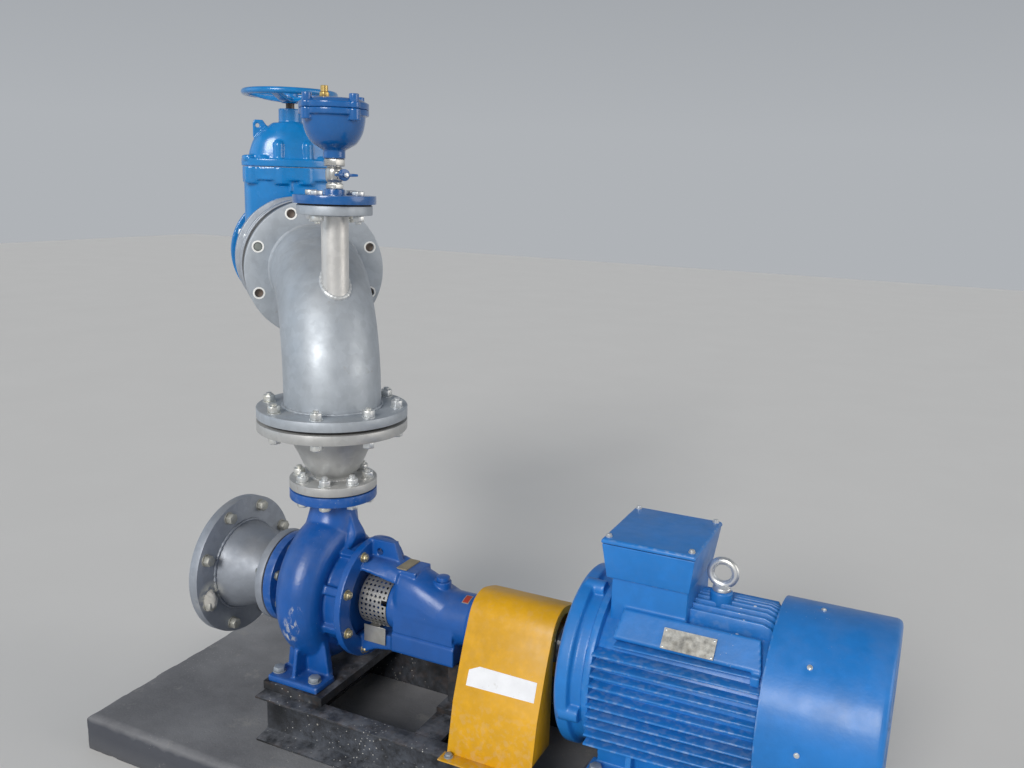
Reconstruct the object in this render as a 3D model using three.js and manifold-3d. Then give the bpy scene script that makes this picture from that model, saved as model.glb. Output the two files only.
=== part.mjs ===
import * as THREE from "three";
import { mergeVertices } from "three/addons/utils/BufferGeometryUtils.js";
import Module from "manifold-3d";

const wasm = await Module();
wasm.setup();

// Driving sizes in millimetres. X runs along the shaft to the motor, Y away from the near side, Z up.
// The origin is on the floor, straight below the crossing of the shaft and the discharge axis.
const shaftHeight = 400;
const gap = 0.3;

// Plinth and base frame
const plinthStart = -488;
const plinthEnd = 1240;
const plinthHalfWidth = 328;
const plinthHeight = 88;
const frameStart = -67;
const frameEnd = 1136;
const frameOuter = 212;
const channelFlange = 48;
const channelThick = 8;
const frameTop = 200;
const padTop = 220;

// Pump
const suctionReach = 125;
const suctionFlangeRadius = 110;
const suctionFlangeThick = 22;
const dischargeReach = 250;
const dischargeFlangeRadius = 100;
const dischargeFlangeThick = 22;
const rimRadius = 130;
const rimEnd = 96.7;
const lanternFlangeRadius = 139.5;
const lanternFlangeEnd = 114.7;
const housingRadius = 58;
const housingEnd = 404;
const shaftRadius = 16;

// Pipework
const gasketThick = 3;
const bigFlangeRadius = 170;
const bigFlangeThick = 24;
const pipeRadius = 109.5;
const pipeWall = 6;
const reducerLength = 165;
const riserBase = 420;
const elbowAxis = 725;
const elbowRadius = 262;
const elbowFace = 286;
const boltCircle = 147.5;
const boltHoleRadius = 11;
const legAngle = (3 * Math.PI) / 4;
const stubRadius = 30.2;
const stubTop = 872;
const ventFlangeRadius = 82.5;
const ventFlangeThick = 20;
const blueFlangeRadius = 90.5;
const ventX = 6;
const ventY = 6;

// Valves
const checkEnd = 385;
const jointSplit = 482;
const gateFront = 627;
const gateLength = 230;
const gateCentre = gateFront + gateLength / 2;
const bonnetSplit = 974;
const wheelRadius = 135;
const wheelHeight = 1178;

// Motor
const motorFace = 637;
const motorBodyStart = 700;
const motorBodyEnd = 1040;
const motorCore = 152;
const motorFin = 178;
const finPitch = 19.5;
const coverStart = 1030;
const coverEnd = 1241;
const coverRadius = 195;
const footHalfWidth = 172;

// Coupling guard
const guardStart = 423;
const guardEnd = 612;
const guardThick = 3;

// A manifold solid from a three.js geometry, with doubled corners joined and flat triangles dropped.
function solid(geometry) {
  const bare = geometry.clone();
  bare.deleteAttribute("normal");
  bare.deleteAttribute("uv");
  const merged = mergeVertices(bare, 1e-4);
  const index = merged.index.array;
  const faces = [];
  for (let i = 0; i < index.length; i += 3) {
    const [a, b, c] = [index[i], index[i + 1], index[i + 2]];
    if (a !== b && b !== c && a !== c) faces.push(a, b, c);
  }
  const mesh = (list) =>
    new wasm.Mesh({
      numProp: 3,
      vertProperties: new Float32Array(merged.attributes.position.array),
      triVerts: new Uint32Array(list),
    });
  const made = new wasm.Manifold(mesh(faces));
  if (made.volume() > 0) return made;
  return new wasm.Manifold(mesh(faces.reverse()));
}

// The three.js geometry of a manifold solid.
function geometryOf(made) {
  const mesh = made.getMesh();
  const points = new Float32Array(mesh.numVert * 3);
  for (let i = 0; i < mesh.numVert; i++) {
    points.set(mesh.vertProperties.subarray(i * mesh.numProp, i * mesh.numProp + 3), i * 3);
  }
  const geometry = new THREE.BufferGeometry();
  geometry.setAttribute("position", new THREE.BufferAttribute(points, 3));
  geometry.setIndex(new THREE.BufferAttribute(new Uint32Array(mesh.triVerts), 1));
  geometry.computeVertexNormals();
  return geometry;
}

function join(...pieces) {
  return pieces.flat().reduce((a, b) => a.add(b));
}

function cut(body, ...tools) {
  return tools.flat().reduce((a, b) => a.subtract(b), body);
}

function box(x0, x1, y0, y1, z0, z1) {
  const shape = new THREE.BoxGeometry(x1 - x0, y1 - y0, z1 - z0);
  shape.translate((x0 + x1) / 2, (y0 + y1) / 2, (z0 + z1) / 2);
  return solid(shape);
}

// A turned solid along +X: the outline is a list of [x, radius].
function turnedGeometry(outline, segments) {
  const points = outline.map(([x, r]) => new THREE.Vector2(r, x));
  const shape = new THREE.LatheGeometry(points, segments);
  shape.rotateZ(-Math.PI / 2);
  return shape;
}

// Turned about the shaft.
function turned(outline, segments = 28) {
  const shape = turnedGeometry(outline, segments);
  shape.translate(0, 0, shaftHeight);
  return solid(shape);
}

// Turned about an upright axis: the outline is a list of [z, radius].
function turnedUp(outline, x = 0, y = 0, segments = 28) {
  const shape = turnedGeometry(outline, segments);
  shape.rotateY(-Math.PI / 2);
  shape.translate(x, y, 0);
  return solid(shape);
}

// Turned about the discharge leg, which leaves the riser at 45 degrees: the outline is a list of [distance, radius].
function turnedLeg(outline, segments = 28) {
  const shape = turnedGeometry(outline, segments);
  shape.rotateZ(legAngle);
  shape.translate(0, 0, shaftHeight + elbowAxis);
  return solid(shape);
}

// A solid disc or cylinder outline between two stations.
function disc(start, end, radius) {
  return [
    [start, 0],
    [start, radius],
    [end, radius],
    [end, 0],
  ];
}

// A ring outline between two stations.
function ring(start, end, outer, inner) {
  return [
    [start, inner],
    [start, outer],
    [end, outer],
    [end, inner],
    [start, inner],
  ];
}

// A plate from an outline in XZ, between two Y values.
function plateY(outline, y0, y1) {
  const shape = new THREE.Shape(outline.map(([x, z]) => new THREE.Vector2(x, z)));
  const made = new THREE.ExtrudeGeometry(shape, { depth: y1 - y0, bevelEnabled: false });
  made.rotateX(Math.PI / 2);
  made.translate(0, y1, 0);
  return solid(made);
}

// A plate from an outline in YZ, between two X values.
function plateX(outline, x0, x1) {
  const shape = new THREE.Shape(outline.map(([y, z]) => new THREE.Vector2(y, z)));
  const made = new THREE.ExtrudeGeometry(shape, { depth: x1 - x0, bevelEnabled: false });
  made.rotateX(Math.PI / 2);
  made.rotateZ(Math.PI / 2);
  made.translate(x0, 0, 0);
  return solid(made);
}

// A skin over a row of rings with the same number of points, closed by flat ends.
function loft(rings) {
  const count = rings[0].length;
  const points = rings.flat();
  const faces = [];
  for (let i = 0; i + 1 < rings.length; i++) {
    for (let j = 0; j < count; j++) {
      const a = i * count + j;
      const b = i * count + ((j + 1) % count);
      faces.push(a, b, a + count, b, b + count, a + count);
    }
  }
  const last = (rings.length - 1) * count;
  for (let j = 1; j + 1 < count; j++) {
    faces.push(0, j + 1, j);
    faces.push(last, last + j, last + j + 1);
  }
  const geometry = new THREE.BufferGeometry();
  geometry.setAttribute("position", new THREE.Float32BufferAttribute(points.flat(), 3));
  geometry.setIndex(faces);
  return solid(geometry);
}

// A rectangle ring at one height.
function rectangle(x0, x1, y0, y1, z) {
  return [
    [x0, y0, z],
    [x1, y0, z],
    [x1, y1, z],
    [x0, y1, z],
  ];
}

// An ellipse ring at one height.
function ellipse(x, y, z, halfX, halfY, count = 24) {
  return Array.from({ length: count }, (_, i) => {
    const a = (2 * Math.PI * i) / count;
    return [x + halfX * Math.cos(a), y + halfY * Math.sin(a), z];
  });
}

const degrees = (value) => (value * Math.PI) / 180;
const steps = (count) => Array.from({ length: count }, (_, i) => i);

const part = new THREE.Group();
part.name = "pump_set";

const looks = {
  concrete: new THREE.MeshStandardMaterial({ color: 0x8a8378, roughness: 0.95, metalness: 0 }),
  blackSteel: new THREE.MeshStandardMaterial({ color: 0x1d1f21, roughness: 0.7, metalness: 0.2 }),
  pumpBlue: new THREE.MeshStandardMaterial({ color: 0x1b4fa5, roughness: 0.4, metalness: 0.1 }),
  motorBlue: new THREE.MeshStandardMaterial({ color: 0x2a6fc4, roughness: 0.45, metalness: 0.1 }),
  valveBlue: new THREE.MeshStandardMaterial({ color: 0x1684cf, roughness: 0.35, metalness: 0.05 }),
  ventBlue: new THREE.MeshStandardMaterial({ color: 0x1d5cb4, roughness: 0.35, metalness: 0.05 }),
  galvanised: new THREE.MeshStandardMaterial({ color: 0xa9adb0, roughness: 0.45, metalness: 0.8 }),
  zinc: new THREE.MeshStandardMaterial({ color: 0xc9cccb, roughness: 0.3, metalness: 0.9 }),
  steel: new THREE.MeshStandardMaterial({ color: 0x9a9da0, roughness: 0.35, metalness: 0.9 }),
  stainless: new THREE.MeshStandardMaterial({ color: 0xc2c2bd, roughness: 0.35, metalness: 0.9 }),
  brass: new THREE.MeshStandardMaterial({ color: 0xc8a04a, roughness: 0.3, metalness: 0.9 }),
  rubber: new THREE.MeshStandardMaterial({ color: 0x16161a, roughness: 0.8, metalness: 0 }),
  amber: new THREE.MeshStandardMaterial({ color: 0xe3a016, roughness: 0.45, metalness: 0 }),
  label: new THREE.MeshStandardMaterial({ color: 0xe9e9ea, roughness: 0.5, metalness: 0 }),
};

function place(name, made, look) {
  const mesh = new THREE.Mesh(geometryOf(made), looks[look]);
  mesh.name = name;
  part.add(mesh);
}

const S = shaftHeight;

// Concrete plinth
place(
  "plinth",
  box(plinthStart, plinthEnd, -plinthHalfWidth, plinthHalfWidth, 0, plinthHeight),
  "concrete",
);

// Long frame channels, open side outward
function channel(side) {
  const outer = side * frameOuter;
  const inner = side * (frameOuter - channelFlange);
  const web = side * (frameOuter - channelFlange + channelThick);
  const outline = [
    [outer, plinthHeight],
    [outer, plinthHeight + channelThick],
    [web, plinthHeight + channelThick],
    [web, frameTop - channelThick],
    [outer, frameTop - channelThick],
    [outer, frameTop],
    [inner, frameTop],
    [inner, plinthHeight],
  ];
  return plateX(outline, frameStart, frameEnd);
}
place("frame_channel_near", channel(-1), "blackSteel");
place("frame_channel_far", channel(1), "blackSteel");

// Cross members between the channels
const crossHalf = frameOuter - channelFlange;
function crossMember(x0, x1) {
  const outline = [
    [x0, plinthHeight],
    [x0, frameTop],
    [x1, frameTop],
    [x1, frameTop - channelThick],
    [x0 + channelThick, frameTop - channelThick],
    [x0 + channelThick, plinthHeight + channelThick],
    [x1, plinthHeight + channelThick],
    [x1, plinthHeight],
  ];
  return plateY(outline, -crossHalf, crossHalf);
}
place("cross_member_pump", crossMember(frameStart, -10), "blackSteel");
place("cross_member_bracket", crossMember(326, 390), "blackSteel");
place("cross_member_motor", crossMember(745, 800), "blackSteel");
place("cross_member_end", crossMember(1081, 1136), "blackSteel");

// Packing plates under the pump and the motor
place("pump_packing_plate", box(-70, 92, -178, 178, frameTop, padTop), "blackSteel");
place("motor_packing_near", box(700, 1084, -178, -100, frameTop, padTop), "blackSteel");
place("motor_packing_far", box(700, 1084, 100, 178, frameTop, padTop), "blackSteel");

// Pump casing: a scroll that grows round the shaft, a neck, two flanges and two feet
const scrollSteps = 20;
const scrollPoints = 14;
function scroll() {
  const rings = steps(scrollSteps + 1).map((i) => {
    const share = i / scrollSteps;
    const around = degrees(12 + 342 * share);
    const outer = 142 + 50 * share;
    const inner = 84;
    const middle = (outer + inner) / 2;
    const reach = (outer - inner) / 2;
    const half = 40 + 20 * share;
    return steps(scrollPoints).map((j) => {
      const a = (2 * Math.PI * j) / scrollPoints;
      const radius = middle + reach * Math.cos(a);
      const y = radius * Math.sin(around);
      const z = radius * Math.cos(around);
      return [half * Math.sin(a), y, S + z];
    });
  });
  return loft(rings);
}

const casingBody = turned([
  [-suctionReach, 0],
  [-suctionReach, suctionFlangeRadius],
  [-suctionReach + suctionFlangeThick, suctionFlangeRadius],
  [-suctionReach + suctionFlangeThick, 66],
  [-78, 66],
  [-50, 88],
  [-36, 112],
  [-20, 122],
  [34, 124],
  [40, rimRadius],
  [50, rimRadius],
  [50, 116],
  [rimEnd, 116],
  [rimEnd, 0],
]);

const neck = loft([
  ellipse(0, -30, S + 90, 50, 98),
  ellipse(0, -22, S + 120, 56, 88),
  ellipse(0, -10, S + 150, 58, 74),
  ellipse(0, -3, S + 180, 56, 60),
  ellipse(0, 0, S + 205, 53, 54),
  ellipse(0, 0, S + dischargeReach - dischargeFlangeThick + 2, 53, 53),
]);
const dischargeFlange = turnedUp(
  disc(S + dischargeReach - dischargeFlangeThick, S + dischargeReach, dischargeFlangeRadius),
  0,
  0,
  40,
);
const shoulder = plateY(
  [
    [20, S + 120],
    [20, S + 205],
    [46, S + 205],
    [66, S + 136],
    [66, S + 112],
  ],
  -12,
  12,
);

// One foot of the casing: a plate, an upright web under the scroll and a rib
function casingFoot(side) {
  const span = (a, b) => [Math.min(side * a, side * b), Math.max(side * a, side * b)];
  const [webIn, webOut] = span(96, 116);
  const web = loft([
    rectangle(-51, 67, webIn, webOut, 230),
    rectangle(-42, 57, webIn, webOut, 300),
    rectangle(-36, 48, webIn, webOut, 330),
  ]);
  const rib = plateX(
    [
      [side * 106, 230],
      [side * 163, 230],
      [side * 150, 298],
      [side * 136, 314],
      [side * 106, 326],
    ],
    -4,
    6,
  );
  return join(box(-61, 75, ...span(104, 174), padTop, 236), web, rib);
}

// Bosses behind the bracket flange, one at each of its bolts
const rimBosses = steps(8).map((i) => {
  const boss = new THREE.BoxGeometry(rimEnd - 48, 20, 40);
  boss.translate((rimEnd + 48) / 2, 0, 111);
  boss.rotateX(degrees(22.5 + 45 * i));
  boss.translate(0, 0, S);
  return solid(boss);
});
const suctionBore = turned([
  [-suctionReach - 1, 0],
  [-suctionReach - 1, 50],
  [-60, 50],
  [-48, 60],
  [-40, 60],
  [-40, 0],
]);
const dischargeBore = turnedUp(disc(S + 200, S + dischargeReach + 1, 28));

const casing = cut(
  join(
    casingBody,
    rimBosses.map((boss) => boss.intersect(turned(disc(44, rimEnd, rimRadius)))),
    scroll(),
    neck,
    dischargeFlange,
    shoulder,
    casingFoot(-1),
    casingFoot(1),
  ),
  suctionBore,
  dischargeBore,
);
place("pump_casing", casing, "pumpBlue");

// Bearing bracket: bolted flange, two bridges, bearing housing, block and lifting ear
const bracketStart = rimEnd + gap;
const windowEnd = 183;
const bracketBody = join(
  turned(ring(bracketStart, lanternFlangeEnd, lanternFlangeRadius, 98)),
  turned([
    [windowEnd, 0],
    [windowEnd, housingRadius + 3],
    [windowEnd + 14, housingRadius + 3],
    [windowEnd + 18, housingRadius],
    [housingEnd - 18, housingRadius],
    [housingEnd - 18, housingRadius + 5],
    [housingEnd, housingRadius + 5],
    [housingEnd, 0],
  ]),
);

// One ring of the top bridge: foot, edge and crown half-widths with their heights
function bridgeRing(x, foot, edge, crown) {
  return [
    [x, -foot[0], foot[1]],
    [x, foot[0], foot[1]],
    [x, edge[0], edge[1]],
    [x, crown[0], crown[1]],
    [x, -crown[0], crown[1]],
    [x, -edge[0], edge[1]],
  ];
}
const topBridge = loft([
  bridgeRing(bracketStart, [60, 483], [60, 494], [34, 503]),
  bridgeRing(132, [55, 477], [55, 487], [35, 502]),
  bridgeRing(178, [51, 464], [51, 476], [35, 500]),
  bridgeRing(186, [52, 440], [51, 474], [35, 499]),
  bridgeRing(194, [51, 440], [50, 473], [34, 491]),
  bridgeRing(250, [48, 420], [48, 462], [33, 488]),
  bridgeRing(289, [50, 410], [50, 445], [30, 468]),
  bridgeRing(338, [50, 410], [49, 430], [24, 450]),
]);
const bottomBridge = loft([
  [
    [bracketStart, -54, 270],
    [bracketStart, 54, 270],
    [bracketStart, 54, 322],
    [bracketStart, -54, 322],
  ],
  [
    [150, -54, 298],
    [150, 54, 298],
    [150, 54, 336],
    [150, -54, 336],
  ],
  [
    [197, -54, 306],
    [197, 54, 306],
    [197, 54, 390],
    [197, -54, 390],
  ],
]);
const block = join(
  box(197, 357, -56, 56, S - 94, 352),
  box(201, 353, -50, 50, 350, 390),
);
const ear = cut(
  plateY(
    [
      [bracketStart, 496],
      [bracketStart, 530],
      [107, 544],
      [174, 544],
      [188, 500],
      [188, 490],
    ],
    -9,
    9,
  ),
  plateY(
    steps(16).map((i) => {
      const a = (2 * Math.PI * i) / 16;
      return [134.5 + 8 * Math.cos(a), 516 + 8 * Math.sin(a)];
    }),
    -10,
    10,
  ),
);
const tagSeat = box(190, 245, -35, 35, 462, 495);
const fillerBoss = turnedUp(disc(440, 478, 19), 297, 0, 20);
const shaftTunnel = turned(disc(bracketStart - 1, housingEnd + 1, shaftRadius + 4), 24);
const sleeveRadius = 60;
const sleeveSpace = turned(disc(bracketStart - 1, windowEnd, sleeveRadius + 0.7), 28);
place(
  "bearing_bracket",
  cut(
    join(
      bracketBody,
      cut(topBridge, sleeveSpace),
      cut(bottomBridge, sleeveSpace),
      block,
      ear,
      tagSeat,
      fillerBoss,
    ),
    shaftTunnel,
  ),
  "pumpBlue",
);
place("filler_cap", turnedUp(disc(478 + gap, 488, 15), 297, 0, 16), "pumpBlue");
place("bracket_tag", box(193, 219, -30, 29, 495 + gap, 498), "brass");

// Shaft sleeve guard in the bracket windows, with a notch, and a flat tail on a ledge on the near side
const sleeveNotch = box(174, 190, -66, -40, 424, 436);
const sleeveTail = join(
  box(125, 182, -58.8, -57.3, 316, 345),
  box(125, 150, -58.8, -19, 343.5, 345),
);
place(
  "shaft_guard",
  join(
    cut(turned(ring(111, windowEnd - gap, sleeveRadius, sleeveRadius - 1.5), 28), sleeveNotch),
    sleeveTail,
  ),
  "stainless",
);

// Support foot of the bearing bracket, on its own cross member
place(
  "bracket_support",
  join(
    box(336, 362, -40, 40, frameTop + 10, S - 94 - gap),
    box(326, 386, -72, 72, frameTop, frameTop + 12),
  ),
  "blackSteel",
);

// Shafts and coupling inside the guard
place("pump_shaft", turned(disc(rimEnd + gap, 500, shaftRadius), 20), "steel");
place(
  "coupling_pump_half",
  turned([
    [428, shaftRadius + gap],
    [428, 38],
    [468, 38],
    [468, 62],
    [500, 62],
    [500, shaftRadius + gap],
    [428, shaftRadius + gap],
  ], 28),
  "steel",
);
place("coupling_ring", turned(ring(500 + gap, 514 - gap, 58, 24), 28), "rubber");
place(
  "coupling_motor_half",
  turned([
    [514, 24 + gap],
    [514, 62],
    [548, 62],
    [548, 42],
    [592, 42],
    [592, 24 + gap],
    [514, 24 + gap],
  ], 28),
  "steel",
);
place("motor_shaft", turned(disc(518, motorFace - 14, 24), 20), "steel");

// Coupling guard: bent sheet that leans to the near side, with an end plate at the motor and two feet
const guardOuter = [
  [196, frameTop],
  [85, 412],
  [55, 455],
  [25, 483],
  [-6, 497],
  [-52, 509],
  [-84, 503],
  [-106, 484],
  [-122, 451],
  [-140, 410],
  [-176, 310],
  [-197, frameTop],
];
// Each point moved inward by the sheet's thickness
const guardInner = guardOuter.map((point, i) => {
  const before = guardOuter[Math.max(i - 1, 0)];
  const after = guardOuter[Math.min(i + 1, guardOuter.length - 1)];
  const length = Math.hypot(after[0] - before[0], after[1] - before[1]);
  const inY = -(after[1] - before[1]) / length;
  const inZ = (after[0] - before[0]) / length;
  const flat = point[1] === frameTop;
  return [point[0] + (flat ? Math.sign(inY) : inY) * guardThick, flat ? frameTop : point[1] + inZ * guardThick];
});
const guardSheet = plateX([...guardOuter, ...[...guardInner].reverse()], guardStart, guardEnd);
const guardEndPlate = cut(
  plateX(
    [[-190, 226], ...guardOuter.slice(1, -1).reverse(), [182, 226]],
    guardEnd - guardThick,
    guardEnd,
  ),
  plateX(
    [
      [-105, 220],
      [-105, 400],
      [-100, 440],
      [-88, 470],
      [-70, 486],
      [-50, 492],
      [-6, 480],
      [20, 466],
      [42, 442],
      [66, 400],
      [105, 330],
      [105, 220],
    ],
    guardEnd - guardThick - 1,
    guardEnd + 1,
  ),
);
const guardFeet = join(
  box(guardStart - 6, guardEnd, -226, -194, frameTop, frameTop + 3),
  box(guardStart, guardEnd, 193, 226, frameTop, frameTop + 3),
);
const guardFootHole = turnedUp(disc(frameTop - 1, frameTop + 4, 4), 451, -210, 12);
place("coupling_guard", cut(join(guardSheet, guardEndPlate, guardFeet), guardFootHole), "amber");

// Suction reducer with its two flanges and the gasket at the pump
const reducerStart = -suctionReach - gasketThick - 2 * gap - reducerLength;
const reducerEnd = reducerStart + reducerLength;
// The outside of the suction reducer's wall: distance from its wide face and radius
const suctionWall = [
  [bigFlangeThick, pipeRadius],
  [44, 103.5],
  [64, 96],
  [82, 88.5],
  [98, 81.5],
  [114, 74],
  [128, 66],
  [137, 60],
  [145, 57],
];
place(
  "suction_gasket",
  turned(ring(reducerEnd + gap, -suctionReach - gap, 104, 52), 28),
  "rubber",
);
place(
  "suction_reducer",
  turned([
    [reducerStart, pipeRadius - pipeWall],
    [reducerStart, bigFlangeRadius],
    [reducerStart + bigFlangeThick, bigFlangeRadius],
    ...suctionWall.map(([along, radius]) => [reducerStart + along, radius]),
    [reducerEnd - 20, suctionFlangeRadius],
    [reducerEnd, suctionFlangeRadius],
    [reducerEnd, 51],
    ...[...suctionWall].reverse().map(([along, radius]) => [reducerStart + along, radius - pipeWall]),
    [reducerStart, pipeRadius - pipeWall],
  ], 28),
  "galvanised",
);

// Discharge reducer above the pump flange
const dischargeStart = S + dischargeReach + gasketThick + 2 * gap;
const dischargeEnd = S + riserBase - gasketThick - 2 * gap;
// The outside of the discharge reducer's wall: height above its lower face and radius
const dischargeWall = [
  [20, 45],
  [27, 46],
  [33, 52],
  [40, 59],
  [52, 66],
  [68, 74],
  [82, 80],
  [102, 91],
  [122, 101],
];
place(
  "discharge_gasket",
  turnedUp(ring(S + dischargeReach + gap, dischargeStart - gap, 94, 42), 0, 0, 28),
  "rubber",
);
place(
  "discharge_reducer",
  turnedUp([
    [dischargeStart, 39],
    [dischargeStart, dischargeFlangeRadius],
    [dischargeStart + 20, dischargeFlangeRadius],
    ...dischargeWall.map(([up, radius]) => [dischargeStart + up, radius]),
    [dischargeEnd - bigFlangeThick, pipeRadius],
    [dischargeEnd - bigFlangeThick, bigFlangeRadius],
    [dischargeEnd, bigFlangeRadius],
    [dischargeEnd, pipeRadius - pipeWall],
    ...[...dischargeWall].reverse().map(([up, radius]) => [dischargeStart + up, radius - pipeWall]),
    [dischargeStart, 39],
  ], 0, 0, 28),
  "galvanised",
);
place(
  "riser_gasket",
  turnedUp(ring(dischargeEnd + gap, S + riserBase - gap, 160, 106), 0, 0, 28),
  "rubber",
);

// Riser and elbow in one welded piece, with the vent stub on the riser axis
const riserTop = S + elbowAxis - elbowRadius;
const elbowSegments = 8;
const pipePoints = 28;
function elbowRing(angle, radius, onward = 0) {
  const turnX = Math.cos(legAngle);
  const turnY = Math.sin(legAngle);
  const along = elbowRadius * (1 - Math.cos(angle));
  const up = elbowRadius * Math.sin(angle);
  return steps(pipePoints).map((j) => {
    const a = (2 * Math.PI * j) / pipePoints;
    const side = radius * Math.sin(a);
    const out = radius * Math.cos(a);
    const reach = along - out * Math.cos(angle) + onward;
    return [
      turnX * reach - turnY * side,
      turnY * reach + turnX * side,
      riserTop + up + out * Math.sin(angle),
    ];
  });
}
const bend = loft([
  ...steps(elbowSegments + 1).map((i) => elbowRing((Math.PI / 2) * (i / elbowSegments), pipeRadius)),
  elbowRing(Math.PI / 2, pipeRadius, 4),
]);
const elbowHoles = steps(8).map((i) => {
  const a = degrees(22.5 + 45 * i);
  const hole = new THREE.CylinderGeometry(boltHoleRadius, boltHoleRadius, bigFlangeThick + 4, 12);
  hole.rotateZ(-Math.PI / 2);
  hole.translate(elbowFace - bigFlangeThick / 2, boltCircle * Math.cos(a), boltCircle * Math.sin(a));
  hole.rotateZ(legAngle);
  hole.translate(0, 0, S + elbowAxis);
  return solid(hole);
});
const legPlate = cut(turnedLeg(disc(elbowFace - bigFlangeThick, elbowFace, bigFlangeRadius), 28), elbowHoles);
const riser = join(
  turnedUp(disc(S + riserBase, S + riserBase + bigFlangeThick, bigFlangeRadius), 0, 0, 28),
  turnedUp(disc(S + riserBase + bigFlangeThick - 2, riserTop, pipeRadius), 0, 0, pipePoints),
  turnedUp(disc(riserTop - 20, riserTop + 20, pipeRadius - 6), 0, 0, pipePoints),
  bend,
  legPlate,
  turnedUp(disc(S + 640, S + stubTop, stubRadius), ventX, ventY, 24),
  turnedUp(disc(S + stubTop, S + stubTop + ventFlangeThick, ventFlangeRadius), ventX, ventY, 28),
);
place("riser_elbow", riser, "galvanised");

// Air release group on the vent stub
const ventGasket = S + stubTop + ventFlangeThick + gap;
place("vent_gasket", turnedUp(disc(ventGasket, ventGasket + 3, 80), ventX, ventY, 28), "rubber");
const blueFlangeBottom = ventGasket + 3 + gap;
place(
  "vent_flange",
  turnedUp([
    [blueFlangeBottom, 0],
    [blueFlangeBottom, blueFlangeRadius],
    [blueFlangeBottom + 18, blueFlangeRadius],
    [blueFlangeBottom + 18, 22.5],
    [blueFlangeBottom + 30.5, 22.5],
    [blueFlangeBottom + 30.5, 0],
  ], ventX, ventY, 28),
  "ventBlue",
);
const ballBottom = blueFlangeBottom + 30.5 + gap;
const ballTop = S + 991;
function hexagon(z0, z1, across) {
  const shape = new THREE.CylinderGeometry(across / Math.sqrt(3), across / Math.sqrt(3), z1 - z0, 6);
  shape.rotateX(Math.PI / 2);
  shape.rotateZ(Math.PI / 12);
  shape.translate(ventX, ventY, (z0 + z1) / 2);
  return solid(shape);
}
const handleAngle = degrees(-22);
const handleHeight = S + 957;
function fromHandle(geometry) {
  geometry.rotateZ(handleAngle);
  geometry.translate(ventX, ventY, handleHeight);
  return solid(geometry);
}
place(
  "ball_valve",
  join(
    hexagon(ballBottom, ballBottom + 12, 35),
    hexagon(ballTop - 16, ballTop, 42),
    turnedUp(disc(ballBottom + 10, ballTop - 14, 15.5), ventX, ventY, 24),
    turnedUp([
      [handleHeight - 16, 0],
      [handleHeight - 16, 15.5],
      [handleHeight - 9, 19],
      [handleHeight + 9, 19],
      [handleHeight + 16, 15.5],
      [handleHeight + 16, 0],
    ], ventX, ventY, 24),
    fromHandle(turnedGeometry(disc(10, 34, 9), 20)),
  ),
  "zinc",
);

// Butterfly handle: a hub on the stem and two wings across the pipe when shut
const wingRings = [
  [-28, 45, 51, 2.6],
  [-15, 40, 46, 3.2],
  [15, 40, 46, 3.2],
  [28, 45, 51, 2.6],
];
const wings = loft(
  wingRings.map(([across, near, far, half]) => [
    [near, across, handleHeight - half],
    [near, across, handleHeight + half],
    [far, across, handleHeight + half],
    [far, across, handleHeight - half],
  ]),
);
place(
  "ball_valve_handle",
  join(
    fromHandle(turnedGeometry(disc(34 + gap, 43, 12.5), 20)),
    wings.rotate([0, 0, -22]).translate([ventX, ventY, 0]),
  ),
  "ventBlue",
);

// Air valve: bowl with a bolted cover and a small plug
const bowlBottom = ballTop + gap;
const coverSplit = S + 1094;
function lobes(z0, z1) {
  return steps(4).map((i) => {
    const a = degrees(-17 + 90 * i);
    return turnedUp(disc(z0, z1, 13), ventX + 69.5 * Math.cos(a), ventY + 69.5 * Math.sin(a), 12);
  });
}
place(
  "air_valve_bowl",
  join(
    turnedUp([
      [bowlBottom, 0],
      [bowlBottom, 24],
      [bowlBottom + 17.5, 24],
      [bowlBottom + 22, 34],
      [bowlBottom + 34, 50],
      [bowlBottom + 54, 61],
      [bowlBottom + 76, 66.5],
      [coverSplit - 13, 67.5],
      [coverSplit - 13, 75],
      [coverSplit, 75],
      [coverSplit, 0],
    ], ventX, ventY, 28),
    lobes(coverSplit - 13, coverSplit),
  ),
  "ventBlue",
);
place(
  "air_valve_cover",
  join(
    turnedUp([
      [coverSplit + gap, 0],
      [coverSplit + gap, 75],
      [coverSplit + 13, 75],
      [coverSplit + 22, 56],
      [coverSplit + 24, 0],
    ], ventX, ventY, 28),
    lobes(coverSplit + gap, coverSplit + 13),
  ),
  "ventBlue",
);
place(
  "air_valve_plug",
  turnedUp([
    [coverSplit + 24 + gap, 0],
    [coverSplit + 24 + gap, 11],
    [coverSplit + 35, 11],
    [coverSplit + 35, 8],
    [coverSplit + 48, 8],
    [coverSplit + 48, 0],
  ], -8, -8, 6),
  "brass",
);

// Check valve and the adjustable flange joint on the leg
place("check_valve", turnedLeg(ring(elbowFace + gap, checkEnd, 167, 100), 28), "blackSteel");
place(
  "adjusting_joint_front",
  turnedLeg([
    [checkEnd + gap, 100],
    [checkEnd + gap, bigFlangeRadius],
    [checkEnd + 22, bigFlangeRadius],
    [checkEnd + 22, 134],
    [jointSplit - 22, 134],
    [jointSplit - 22, bigFlangeRadius - 3],
    [jointSplit, bigFlangeRadius - 3],
    [jointSplit, 100],
    [checkEnd + gap, 100],
  ], 28),
  "galvanised",
);
place(
  "adjusting_joint_rear",
  turnedLeg([
    [jointSplit + gap, 100],
    [jointSplit + gap, 128],
    [gateFront - 46, 128],
    [gateFront - 46, 116],
    [gateFront - 24, 116],
    [gateFront - 24, bigFlangeRadius],
    [gateFront - gap, bigFlangeRadius],
    [gateFront - gap, 100],
    [jointSplit + gap, 100],
  ], 28),
  "galvanised",
);

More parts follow.
